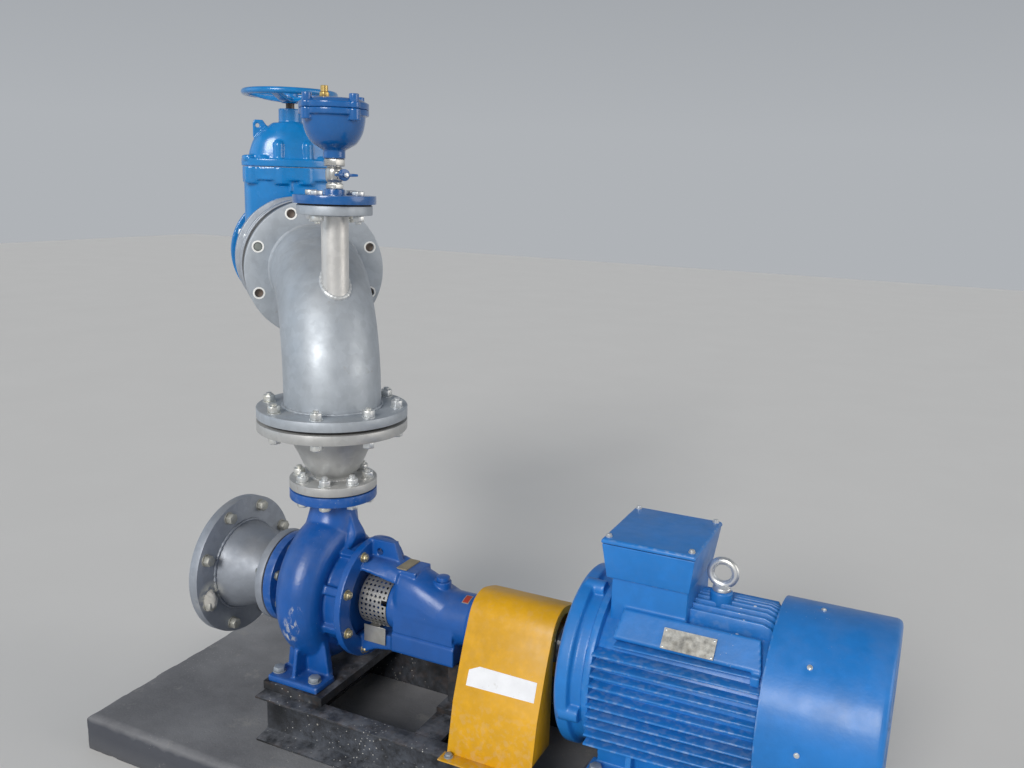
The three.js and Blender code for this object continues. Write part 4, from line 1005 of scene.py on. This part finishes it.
def gate_shape():
    gate = Shape()
    for face in (GATE_FRONT, GATE_REAR):
        gate.turn(ring(*face, FLANGE, 100), LEG, 112)
    belly = spline([(660, 123), (677, 128), (742, 142), (807, 128), (824, 123)], 6)
    gate.turn([(647, 118), (647, 120)] + belly + [(837, 120), (837, 118)], LEG)
    tower = ((1007, 62, 96), (1065, 72, 124), (1125, 74, 133), (1245, 72, 133), (1372, 72, 133))
    gate.loft(smooth_rings([gate_oval(*row) for row in tower], 4), LEG)
    gate.loft([gate_oval(1337, 82, 137), gate_oval(1373, 82, 137)], LEG)
    for sign in (-1, 1):
        for offset in (-107, -31, 31, 107):
            half = 83 * math.sqrt(1 - (offset / 139) ** 2)
            lug = [(1325, 14, 22), (1329, 17, 27), (1373, 17, 27)]
            boss(gate, GATE_MID + sign * (half - 17), offset, lug)
        low, high = mirrored(60, 77, sign)
        gate.box(GATE_MID + low, GATE_MID + high, 7.5, 12.5, 1306 - LEG_Z, 1340 - LEG_Z, LEG)
    return gate


def bonnet_shape():
    bonnet = Shape().loft([gate_oval(1374.3, 84, 139, 96), gate_oval(1395, 84, 139, 96)], LEG)
    dome = [(1390, 71, 121), (1412, 69, 117), (1432, 66, 111), (1450, 62, 103)]
    dome += [(1466, 56, 90), (1482, 48, 70), (1497, 38, 50)]
    bonnet.loft(smooth_rings([gate_oval(*row) for row in dome], 4), LEG)
    bonnet.turn(disc(1480, 1536, 33), upright(*GATE), 56)
    lug = [(98, 1440), (105, 1458), (105, 1496), (100, 1503), (78, 1503), (68, 1490), (66, 1448)]
    for sign in (1, -1):
        placed = LEG @ Matrix.Translation((0, 0, -LEG_Z)) @ Matrix.Scale(sign, 4, (0, 1, 0))
        bonnet.plate_with_hole(lug, (92, 1487), 6, 737, 747, placed)
    bosses = (
        (22, 119, [(1390, 18, 17), (1402, 18, 17), (1405, 14, 13)]),
        (63, 40, [(1390, 13, 14), (1436, 13, 14), (1443, 9, 10), (1446, 4, 5)]),
        (50, 80, [(1390, 12, 14), (1400, 12, 14), (1403, 9, 11)]),
    )
    for sign in (-1, 1):
        for along, across, rings in bosses:
            boss(bonnet, GATE_MID + sign * along, -across, rings)
            boss(bonnet, GATE_MID + sign * along, across, rings)
    return bonnet


gate = cast(gate_shape(), 3.2, 4)
for start, end in ((600, 712), (772, 900)):
    gate = cut(gate, Shape().turn(disc(start, end, 100), LEG, 64))
piece("gate_body", gate, valve_blue, "gate_valve_body")
neck_bore = Shape().turn(disc(1506, 1545, 13), upright(*GATE), 32)
piece("gate_bonnet", cut(cast(bonnet_shape(), 2.4, 4), neck_bore), valve_blue, "gate_valve_bonnet")

# Stem and handwheel
WHEEL_Z, HUB_BORE = 1578.0, 12.4
stem = Shape().turn([(1508, 12), (1584, 12), (1586, 10.5)], upright(*GATE), 40)
piece("stem", crisp(stem, 0.6, 1), stem_steel, "gate_valve_stem", body="handwheel")


def wheel_shape():
    wheel = Shape()
    centre = Matrix.Translation((*GATE, 0))
    wheel.tube([(x, y, WHEEL_Z) for x, y in circle(126, 120)], 9, centre, 20)
    spoke = []
    for x, half, low, high in ((0, 16, -26, -10), (60, 14, -20, -9), (125, 12, -5, 5)):
        spoke.append([(x, y, WHEEL_Z + up) for y, up in rectangle(-half, half, low, high)])
    for k in range(5):
        wheel.loft(smooth_rings(spoke, 6), centre @ Matrix.Rotation(math.radians(72 * k), 4, "Z"))
    return wheel.turn(ring(WHEEL_Z - 27, WHEEL_Z + 4, 24, HUB_BORE), upright(*GATE), 56)


bore = Shape().turn(disc(WHEEL_Z - 40, WHEEL_Z + 20, HUB_BORE), upright(*GATE), 40)
wheel = cut(cast(wheel_shape(), 1.9, 4), bore)
piece("handwheel", wheel, valve_blue, "gate_valve_handwheel", body="handwheel")

# Vent flange and ball valve
VALVE_LOW, VALVE_TOP = VENT_FACE + 30.8, 1391.0
HANDLE_Z, HANDLE_ANGLE = 1357.0, math.radians(-22)
steps = ((0, 90.5), (18, 90.5), (18, 24), (19.5, 22.5), (30.5, 22.5))
vent_flange = Shape().loft([[(x, y, VENT_FACE + up) for x, y in circle(r, 96, VENT)] for up, r in steps])
piece("vent_flange_blue", crisp(vent_flange, 1.6), vent_blue, "vent_flange")


def hex_prism(shape, z0, z1, across):
    """A hexagon on the vent's line, with its corners broken at both ends."""
    levels = ((z0, across * 0.94), (z0 + 1.6, across), (z1 - 1.6, across), (z1, across * 0.94))
    rings = [hexagon(wide, z, math.pi / 12) for z, wide in levels]
    shape.loft([[(x + VENT[0], y + VENT[1], z) for x, y, z in row] for row in rings])


valve = Shape()
hex_prism(valve, VALVE_LOW, VALVE_LOW + 12, 35)
hex_prism(valve, VALVE_TOP - 16, VALVE_TOP, 42)
ball = [(HANDLE_Z - 16, 15.5), (HANDLE_Z - 9, 19), (HANDLE_Z + 9, 19), (HANDLE_Z + 16, 15.5)]
valve.turn(spline([(VALVE_LOW + 11, 15.5)] + ball + [(VALVE_TOP - 15, 15.5)], 4), upright(*VENT), 48)
handle_place = Matrix.Translation((*VENT, HANDLE_Z)) @ Matrix.Rotation(HANDLE_ANGLE, 4, "Z")
valve.turn(disc(8, 34, 9), handle_place, 32)
piece("ball_valve_body", crisp(valve, 0.7), nickel, "ball_valve")

handle = Shape().turn(disc(34.3, 43, 12.5), handle_place, 40)
half_wing = [(13, 40, 46, 3.2), (22, 42.5, 48.5, 2.9), (28, 45, 51, 2.4)]
wings = [(-y, a, b, h) for y, a, b, h in reversed(half_wing)] + half_wing
sections = [[(x, y, z) for z, x in rectangle(-h, h, a, b)] for y, a, b, h in wings]
handle.loft(smooth_rings(sections, 3), handle_place)
piece("handle", crisp(handle, 1.0, 2, 40), vent_blue, "ball_valve_handle", body="ball_handle")
nut = Shape()
nut_place = handle_place @ Matrix.Translation((45.8, 0, 0)) @ Matrix.Rotation(math.pi / 2, 4, "Y")
head(nut, nut_place, 10, 4.4, 0, 2.6)
piece("handle_nut", crisp(nut, 0.3, 1), bolt_zinc, body="ball_handle")

# Air valve
BOWL_Z, SPLIT_Z = VALVE_TOP + GAP, 1494.0


def cover_lobes(shape, z0, z1, radius=13.0):
    for k in range(4):
        a = math.radians(-17 + 90 * k)
        x, y = VENT[0] + 69.5 * math.cos(a), VENT[1] + 69.5 * math.sin(a)
        shape.turn(disc(z0, z1, radius), upright(x, y), 32)


cup = moved([(19, 27), (24, 36), (34, 50), (54, 61.5), (76, 66.5)], BOWL_Z)
cup = spline(cup + [(SPLIT_Z - 14, 67.5)], 6)
bowl = Shape()
bowl.turn([(BOWL_Z, 24), (BOWL_Z + 17.5, 24)] + cup + [(SPLIT_Z - 13, 75), (SPLIT_Z, 75)], upright(*VENT))
cover_lobes(bowl, SPLIT_Z - 24, SPLIT_Z)
piece("air_bowl", cast(bowl, 1.7, 3), vent_blue, "air_valve_bowl")
crown = spline([(15, 70), (21, 58), (23.5, 36), (24, 8)], 5)
cover = Shape().turn(moved([(GAP, 75), (13, 75)] + crown, SPLIT_Z), upright(*VENT))
cover_lobes(cover, SPLIT_Z + GAP, SPLIT_Z + 13)
caps = Shape()
cover_lobes(caps, SPLIT_Z + 11, SPLIT_Z + 30, 10.5)
piece("air_cover", [cast(cover, 1.7, 3), crisp(caps, 1.8, 3)], vent_blue, "air_valve_cover")
plug = Shape()
plug_place = Matrix.Translation((-8, -8, SPLIT_Z + 24 + GAP))
head(plug, plug_place, 19, 10.7)
plug.turn(disc(10.7, 23.7, 8), plug_place @ TO_Z, 24)
piece("air_plug", crisp(plug, 0.6, 1), brass, "air_valve_plug")


# Motor: ribbed frame, slanted side panels, feet and the seat of the terminal box
EYE_X = 915
EARS = []
for angle in EAR_ANGLES:
    t = math.radians(angle)
    EARS.append((SHIELD_X + 19, EAR_CIRCLE * math.cos(t), SHAFT_Z + EAR_CIRCLE * math.sin(t)))


def fin_section(root, tip, halves, soft):
    """A fin with a rounded tip: reach and half thickness at the root, the shoulder and near the tip."""
    half = list(zip((root, tip - 3, tip - soft), halves))
    return [(reach, -w) for reach, w in half] + [(tip, 0)] + [(reach, w) for reach, w in reversed(half)]


def fin_shape():
    """Ten fins and a short one on each side, and seven on top that slope down at the fan's end."""
    fins = Shape()
    for side in (-1, 1):
        for i in range(10):
            z = SHAFT_Z + 80 - 19.5 * i
            reach = 184 - 0.0009 * max(0.0, z - 324) ** 2
            rows = []
            for x, tip in ((FRAME_X0 + 12, reach), (COVER_X0 - 4, reach - 10)):
                section = fin_section(100, tip, (3.8, 2.9, 1.8), 0.6)
                rows.append([(x, side * y, z + up) for y, up in section])
            fins.loft(rows)
        rows = []
        for x, tip in ((748, 144), (1008, 135)):
            section = ((100, -3.5), (tip - 2, -2.2), (tip, 0), (tip - 2, 2.2), (100, 3.5))
            rows.append([(x, side * y, SHAFT_Z + 99 + up) for y, up in section])
        fins.loft(rows)
    slope = ((34, 0), (20, 5), (11, 14), (8, 26))
    for i in range(7):
        y = -54 + 18 * i
        reach = math.sqrt(178**2 - y**2)
        rows = []
        for x, drop in [(FRAME_X0 + 12, 0)] + [(FRAME_X1 - back, drop) for back, drop in slope]:
            section = fin_section(120, reach - drop, (4.2, 3.3, 2), 0.7)
            rows.append([(x, y + across, SHAFT_Z + up) for up, across in section])
        fins.loft(rows)
    return fins


def motor_seats():
    body = Shape()
    panel = [(84, 150, 0), (92, 157, 0)]
    panel += [(y, up, 1) for y, up in ((126.5, 111), (126.5, 105), (115, 102), (115, 80), (90, 80))]
    for side in (-1, 1):
        rows = []
        for ends in ((750, 741), (1012, 1023)):
            rows.append([(ends[low], side * y, SHAFT_Z + up) for y, up, low in panel])
        body.loft(rows)
        body.box(1006, 1022, *mirrored(120, 139, side), SHAFT_Z + 84, SHAFT_Z + 104)
        sill = ((104, 224), (124, 224), (140, 308), (104, 308))
        body.prism(flipped(sill, side), 724, COVER_X0 - 6)
        web = ((104, 224), (164, 236), (150, 308), (104, 308))
        for x in (790, 966):
            body.prism(flipped(web, side), x, x + 12)
        body.box(712, 1064, *mirrored(112, 172, side), 220, 238)
    body.box(720, 870, -84, 84, SHAFT_Z + 110, SHAFT_Z + 212)
    return body.turn(disc(SHAFT_Z + 140, SHAFT_Z + 195, 22), upright(EYE_X), 48)


core = Shape()
core.turn(disc(FRAME_X0, FRAME_X1, 152), SHAFT)
core.turn(disc(FRAME_X0, FRAME_X0 + 14, 174), SHAFT)
core.turn(disc(FRAME_X1 - 10, FRAME_X1, 166), SHAFT)
body_meshes = [crisp(core, 2.0), crisp(fin_shape(), 1.0), cast(motor_seats(), 2.6, 4)]
piece("motor_body", body_meshes, motor_blue, "motor_frame")

# Motor shields
outside = ((-12, 30), (-12, 66), (0, 74), (4, 152), (8, 177), (14, 184), (36, 184), (40, 170))
front = moved(outside, SHIELD_X)
back = FRAME_X0 - GAP
shield = Shape().turn(front + [(back, 170), (back, 30), front[0]], SHAFT, 112)
for ear in EARS:
    shield.turn(disc(0, 40, 17), Matrix.Translation(ear), 28)
piece("drive_shield", cast(shield, 2.4, 3), motor_blue, "motor_drive_shield")

shield = Shape().turn(moved(((GAP, 168), (22, 168), (44, 90), (52, 50)), FRAME_X1), SHAFT)
for k in range(4):
    turned = SHAFT @ Matrix.Rotation(math.radians(45 + 90 * k), 4, "X")
    shield.box(FRAME_X1 + GAP, FRAME_X1 + 50, -10, 10, 150.6, 190.6, turned)
piece("fan_shield", crisp(shield, 1.6), motor_blue, "motor_fan_shield")


# Fan cover: spun sheet, dimpled at its screws, with slots in the end
def dimple(angle, x, reach=17):
    """How deep the sheet is pressed in, at an angle in degrees and a place along the shaft."""
    depth = 0.0
    for middle in DIMPLE_ANGLES:
        across = abs((angle - middle + 180) % 360 - 180) / 180 * math.pi * COVER_RADIUS
        far = math.hypot(across, x - DIMPLE_X)
        if far < reach:
            depth = max(depth, DIMPLE_DEPTH * 0.5 * (1 + math.cos(math.pi * far / reach)))
    return depth


def cover_skin(count=256):
    corner = ((12, 0), (6, 2), (1.8, 6), (0, 13))
    profile = [(COVER_X0 + 4 * i, COVER_RADIUS) for i in range(48)]
    profile += spline([(COVER_X1 - a, COVER_RADIUS - r) for a, r in corner], 4)
    profile += [(COVER_X1, r) for r in (*range(165, 0, -15), 4)]
    points, faces = [], []
    for i, (x, r) in enumerate(profile):
        slotted = 52 < r <= 150.5
        for j in range(count):
            angle = 360 * j / count
            size = r - (dimple(angle, x) if r > COVER_RADIUS - 12 else 0.0)
            points.append(round_shaft(x, size, math.radians(angle)))
            in_slot = slotted and abs((angle + 180 / count + 15) % 30 - 15) < 5.2
            if i + 1 < len(profile) and not in_slot:
                a, b, k = i * count, (i + 1) * count, (j + 1) % count
                faces.append([a + j, a + k, b + k, b + j])
    faces.append([len(points) - count + j for j in range(count)])
    return Shape().add(points, faces)


piece("fan_cover", sheet(cover_skin(), 2.6), motor_blue, "motor_fan_cover", sharp=50)


# Terminal box with its gasket line and lid, and the lifting eyebolt
def level_rings(rows):
    """Level rectangles: height over the shaft, both ends along the shaft, and half the width."""
    return [[(x, y, SHAFT_Z + up) for x, y in rectangle(a, b, -half, half)] for up, a, b, half in rows]


BOX = ((212.3, 712, 872, 91), (214, 710.5, 873.5, 92.5), (281, 702, 882, 103.5), (283.4, 702, 882, 103.5))
LID = ((285.3, 700, 884, 106), (292, 700, 884, 106), (295, 704, 880, 102))
seam = Shape().box(704.5, 879.5, -101, 101, SHAFT_Z + 282, SHAFT_Z + 285.2)
piece("box_lower", crisp(Shape().loft(level_rings(BOX)), 5.0, 4, 25), motor_blue, "terminal_box")
piece("box_gasket", crisp(seam, 0.6, 1), rubber)
piece("box_lid", crisp(Shape().loft(level_rings(LID)), 3.4, 4, 20), motor_blue, "terminal_box_lid")

loop = [(x, 0, z) for x, z in circle(24, 72, (EYE_X, SHAFT_Z + 231))]
eye = Shape().tube(loop, 7.5, sides=20, up=Y)
eye.turn(moved(((195.3, 18), (202, 18), (206, 11), (208, 9)), SHAFT_Z), upright(EYE_X), 40)
piece("eyebolt", crisp(eye, 0.6, 1, 50), bolt_zinc, "lifting_eyebolt")

# Coupling guard: a bent sheet on two foot strips, with an end plate round an opening on the motor's side
GUARD_CROWN = [(85, 412), (55, 455), (25, 483), (-6, 497), (-52, 509), (-84, 503), (-106, 484), (-122, 451)]
GUARD_CROWN += [(-140, 410), (-176, 310)]
OPENING = [(66, 400), (42, 442), (20, 466), (-6, 480), (-50, 492), (-70, 486), (-88, 470), (-100, 440)]
OPENING += [(-105, 400)]
crown = spline(GUARD_CROWN, 6)


def beside(points, distance):
    """The line that runs at a distance from the given one, to its left."""
    out = []
    for i, p in enumerate(points):
        before = points[max(i - 1, 0)]
        after = points[min(i + 1, len(points) - 1)]
        length = math.hypot(after[0] - before[0], after[1] - before[1])
        across, up = -(after[1] - before[1]) / length, (after[0] - before[0]) / length
        out.append((p[0] + across * distance, p[1] + up * distance))
    return out


def part_way(points, share):
    """The point at a share of the line's length."""
    lengths = [0.0]
    for p, q in zip(points, points[1:]):
        lengths.append(lengths[-1] + math.hypot(q[0] - p[0], q[1] - p[1]))
    goal = share * lengths[-1]
    for i, (p, q) in enumerate(zip(points, points[1:])):
        if lengths[i + 1] >= goal:
            s = (goal - lengths[i]) / max(lengths[i + 1] - lengths[i], 1e-9)
            return tuple(a + (b - a) * s for a, b in zip(p, q))
    return points[-1]


def bent_sheet(shape, thickness=3.0):
    line = [(196, 200)] + crown + [(-197, 200)]
    count, n = len(line), 2 * len(line)
    line += reversed(beside(line, thickness))
    faces = [[j, (j + 1) % n, n + (j + 1) % n, n + j] for j in range(n)]
    for j in range(count - 1):
        a, b, c, d = j, j + 1, n - 2 - j, n - 1 - j
        faces += [[a, b, c, d], [n + a, n + d, n + c, n + b]]
    shape.add([(x, y, z) for x in (423, 612) for y, z in line], faces)


def end_plate(shape, steps=60):
    outer = [(182, 226)] + crown + [(-191.5, 226)]
    inner = [(105, 226), (105, 330)] + spline(OPENING, 4) + [(-105, 226)]
    points, faces = [], []
    for x in (609.2, 611.9):
        for i in range(steps + 1):
            y, z = part_way(outer, i / steps)
            points += [(x, y * 0.992, z - 1.2), (x, *part_way(inner, i / steps))]
    n = 2 * (steps + 1)
    for i in range(steps):
        a, b, c, d = 2 * i, 2 * i + 1, 2 * i + 3, 2 * i + 2
        faces += [[a, b, c, d], [n + a, n + d, n + c, n + b], [b, n + b, n + c, c], [a, d, n + d, n + a]]
    faces += [[0, n, n + 1, 1], [n - 2, n - 1, 2 * n - 1, 2 * n - 2]]
    shape.add(points, faces)


guard = Shape()
bent_sheet(guard)
guard.box(417, 612, -226, -194.5, 200, 203).box(423, 612, 193.5, 226, 200, 203)
end_plate(guard)
piece("guard_sheet", crisp(guard, 0.7, 2, 35), guard_amber, "coupling_guard", sharp=50)

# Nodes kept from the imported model, with the width of their edge rounds
KEPT = [
    (frame_black, 1.5, [f"cross_member_{which}" for which in ("pump", "bracket", "motor", "end")]),
    (frame_black, 1.2, ["pump_packing_plate", "motor_packing_near", "motor_packing_far", "bracket_support"]),
    (tag_brass, 0.5, ["bracket_tag"]),
    (label_white, 0.0, ["guard_label"]),
    (rating_metal, 0.3, ["rating_plate"]),
    (bright_steel, 0.5, ["pump_shaft", "motor_shaft"]),
    (bright_steel, 1.0, ["coupling_pump_half", "coupling_motor_half"]),
    (rubber, 0.5, ["coupling_ring"]),
    (fan_plastic, 0.8, ["motor_fan"]),
]


def keep_node(obj, material, width):
    mesh = obj.data
    mesh.materials.clear()
    mesh.materials.append(material)
    mesh.polygons.foreach_set("use_smooth", [True] * len(mesh.polygons))
    mesh.set_sharp_from_angle(angle=math.radians(35))
    if width:
        flat = obj.modifiers.new("flat", "DECIMATE")
        flat.decimate_type = "DISSOLVE"
        flat.angle_limit = math.radians(1)
        edge = obj.modifiers.new("edge", "BEVEL")
        edge.width = width * MM
        edge.segments = 2
        edge.limit_method = "ANGLE"
        edge.angle_limit = math.radians(35)


for material, width, nodes in KEPT:
    for node in nodes:
        keep_node(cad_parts[node], material, width)


# Fasteners in place. A row is places, size across flats, height, radius of the washer and thread end above.
M16, WASHER = 24, 15


def on_shaft(x, axis, radius=BOLT_CIRCLE):
    return circle_places((x, 0, SHAFT_Z), axis, radius, Y)


def on_riser(z, axis, radius=BOLT_CIRCLE):
    return circle_places((0, 0, z), axis, radius, X)


def on_vent(z, axis):
    return circle_places((*VENT, z), axis, 62.5, X, 4, 0)


bolt_set("suction_bolts", [(on_shaft(SUCTION_END + 24, X), M16, 15, WASHER, 0)], bolt_film)
rows = [(on_shaft(SUCTION_END + 145, -X, 90), 21, 10, 0, 5), (on_shaft(PUMP_INLET[1], X, 90), 21, 9, 0, 0)]
bolt_set("suction_small_bolts", rows, bolt_grey)
rows = [
    (on_riser(DISCHARGE_LOW + 20, Z, 80), M16, 13, WASHER, 7),
    (on_riser(PUMP_OUTLET[0], -Z, 80), M16, 10, WASHER, 0),
]
bolt_set("discharge_bolts", rows, bolt_zinc)
rows = [(on_riser(RISER_LOW, Z), M16, 15, WASHER, 5), (on_riser(DISCHARGE_TOP - 24, -Z), M16, 14, WASHER, 0)]
bolt_set("riser_bolts", rows, bolt_zinc)
rows = [(on_vent(VENT_FACE + 18, Z), M16, 10, 0, 0), (on_vent(VENT_LOW, -Z), M16, 13, 0, 6)]
bolt_set("vent_bolts", rows, bolt_zinc)
bolt_set("bracket_bolts", [(on_shaft(114.7, X, 121), 17, 8, 12, 3)], bolt_yellow)
rows = [
    ([facing(x, y, 236, Z) for x in (-47.5, 52) for y in (-148, 148)], M16, 10, WASHER, 0),
    ([facing(x, y, 238, Z) for x in (732, 1044) for y in (-156, 156)], 22, 9, 14, 0),
    ([facing(434, y, 203, Z) for y in (-209, 212)], 13, 5.5, 9.5, 0),
    ([facing(374, y, 212, Z) for y in (-56, 56)], 19, 8, 12, 0),
]
bolt_set("foot_bolts", rows, bolt_dull)
rows = []
for at, way, height, end in (
    (JOINT_REAR[0], -1, 14, 0),
    (GATE_FRONT[1], 1, 14, 8),
    (JOINT_MIDDLE[0], -1, 14, 8),
    (JOINT_MIDDLE[1], 1, 14, 0),
    (GATE_REAR[0], -1, 13, 0),
):
    rows.append((circle_places(on_leg(at), ALONG_LEG * way), M16, height, 0, end))
bolt_set("leg_nuts", rows, bolt_zinc)
studs = Shape()
thread = [(12 + 2.4 * i + up, r) for i in range(40) for up, r in ((0, 9.6), (1.2, 8.6))]
for place in circle_places(on_leg(JOINT_MIDDLE[1]), ALONG_LEG):
    studs.turn(thread, place @ TO_Z, 14)
piece("leg_studs", to_mesh(studs), bolt_zinc, sharp=30)
places = [facing(x, y, SHAFT_Z + 295, Z) for x in (711, 873) for y in (-91, 91)]
bolt_set("box_screws", [(places, 9, 4, 6.5, 0)], bolt_zinc)
bolt_set("shield_bolts", [([facing(*ear, -X) for ear in EARS], 15, 6.5, 9, 0)], motor_blue)
places = []
for angle in DIMPLE_ANGLES:
    t = math.radians(angle)
    outward = Vector((0, math.sin(t), math.cos(t)))
    screw = Vector((DIMPLE_X, 0, SHAFT_Z)) + outward * (COVER_RADIUS - DIMPLE_DEPTH)
    places.append(facing(*screw, outward))
bolt_set("cover_screws", [(places, 7, 1.6, 5, 0)], bolt_zinc)
rivets = Shape()
tilt = math.atan2(57, 52)
plate = Matrix.Translation((886, -118.97, SHAFT_Z + 128.81)) @ Matrix.Rotation(tilt, 4, "X")
for x in (-46, 46):
    for y in (-16, 16):
        rivets.turn([(0.4, 2.4), (1.2, 2.2), (1.7, 1.2)], plate @ upright(x, y), 16)
piece("plate_rivets", crisp(rivets, 0.2, 1), bolt_zinc)


# A small blank tag on the bracket
def wrapped(x0, x1, low, high, start, stop):
    """A thin strip wrapped over the bracket housing, start and stop in millimetres round it."""
    rings = []
    for i in range(7):
        angle = (start + (stop - start) * i / 6) / 58.4
        rings.append([round_shaft(x, r, angle) for r, x in rectangle(low, high, x0, x1)])
    return Shape().loft(rings)


piece("red_tag", crisp(wrapped(361.5, 374.5, 57, 59.2, -28, -5), 0.3, 1), tag_red)
piece("tag_border", crisp(wrapped(359.8, 376.2, 57, 58.8, -30, -3), 0.3, 1), tag_edge)

# Floor
floor = bpy.data.meshes.new("floor")
floor.from_pydata([(-14, -14, 0), (14, -14, 0), (14, 14, 0), (-14, 14, 0)], [], [[0, 1, 2, 3]])
floor_object = shown("floor", floor)
g = Graph("floor")
pale = g.mix(g.noise(2.0, 3), (0.74, 0.73, 0.71), (0.78, 0.77, 0.75))
g.finish(pale, g.span(g.noise(5), 0.3, 0.7, 0.8, 0.9))
floor.materials.append(g.material)

# Soft sky, paler near the floor, and three suns
world = bpy.data.worlds.new("studio")
bpy.context.scene.world = world
world.use_nodes = True
nodes, links = world.node_tree.nodes, world.node_tree.links
sky = nodes["Background"]
direction = nodes.new("ShaderNodeTexCoord")
split = nodes.new("ShaderNodeSeparateXYZ")
links.new(direction.outputs["Generated"], split.inputs[0])
climb = nodes.new("ShaderNodeMapRange")
climb.inputs["From Min"].default_value = 0.05
climb.inputs["From Max"].default_value = 0.75
links.new(split.outputs[2], climb.inputs["Value"])
fade = nodes.new("ShaderNodeMix")
fade.data_type = "RGBA"
fade.inputs[6].default_value = (0.86, 0.90, 0.95, 1)
fade.inputs[7].default_value = (0.26, 0.30, 0.36, 1)
links.new(climb.outputs["Result"], fade.inputs[0])
links.new(fade.outputs[2], sky.inputs["Color"])
sky.inputs["Strength"].default_value = 0.50
bpy.context.scene.view_settings.view_transform = "Standard"


def sun(name, direction, strength, angle, colour):
    """Soft light from one side, the same all over the scene."""
    data = bpy.data.lights.new(name, "SUN")
    data.energy = strength
    data.angle = math.radians(angle)
    data.color = colour
    shown(name, data).rotation_euler = Vector(direction).to_track_quat("-Z", "Y").to_euler()


sun("key", (-0.05, 0.88, -0.47), 2.25, 26, (1.0, 0.97, 0.93))
sun("window", (0.85, 0.45, -0.30), 0.35, 50, (0.70, 0.85, 1.0))
sun("side", (-0.95, -0.22, -0.24), 0.75, 40, (1.0, 0.94, 0.86))

# Camera, as fitted to the photograph
lens = bpy.data.cameras.new("camera")
lens.sensor_width = 36.0
lens.lens = 33.033
lens.clip_start = 0.05
lens.clip_end = 60
camera = shown("camera", lens)
bpy.context.scene.camera = camera
yaw, pitch, roll = math.radians(25.31), math.radians(12.23), math.radians(1.81)
ahead = Vector((-math.sin(yaw) * math.cos(pitch), math.cos(yaw) * math.cos(pitch), -math.sin(pitch)))
right = Vector((math.cos(yaw), math.sin(yaw), 0))
above = right.cross(ahead)
camera_right = math.cos(roll) * right + math.sin(roll) * above
camera_up = -math.sin(roll) * right + math.cos(roll) * above
turn = Matrix((camera_right, camera_up, -ahead)).transposed().to_4x4()
turn.translation = Vector((1.2616, -1.7126, 1.3573))
camera.matrix_world = turn
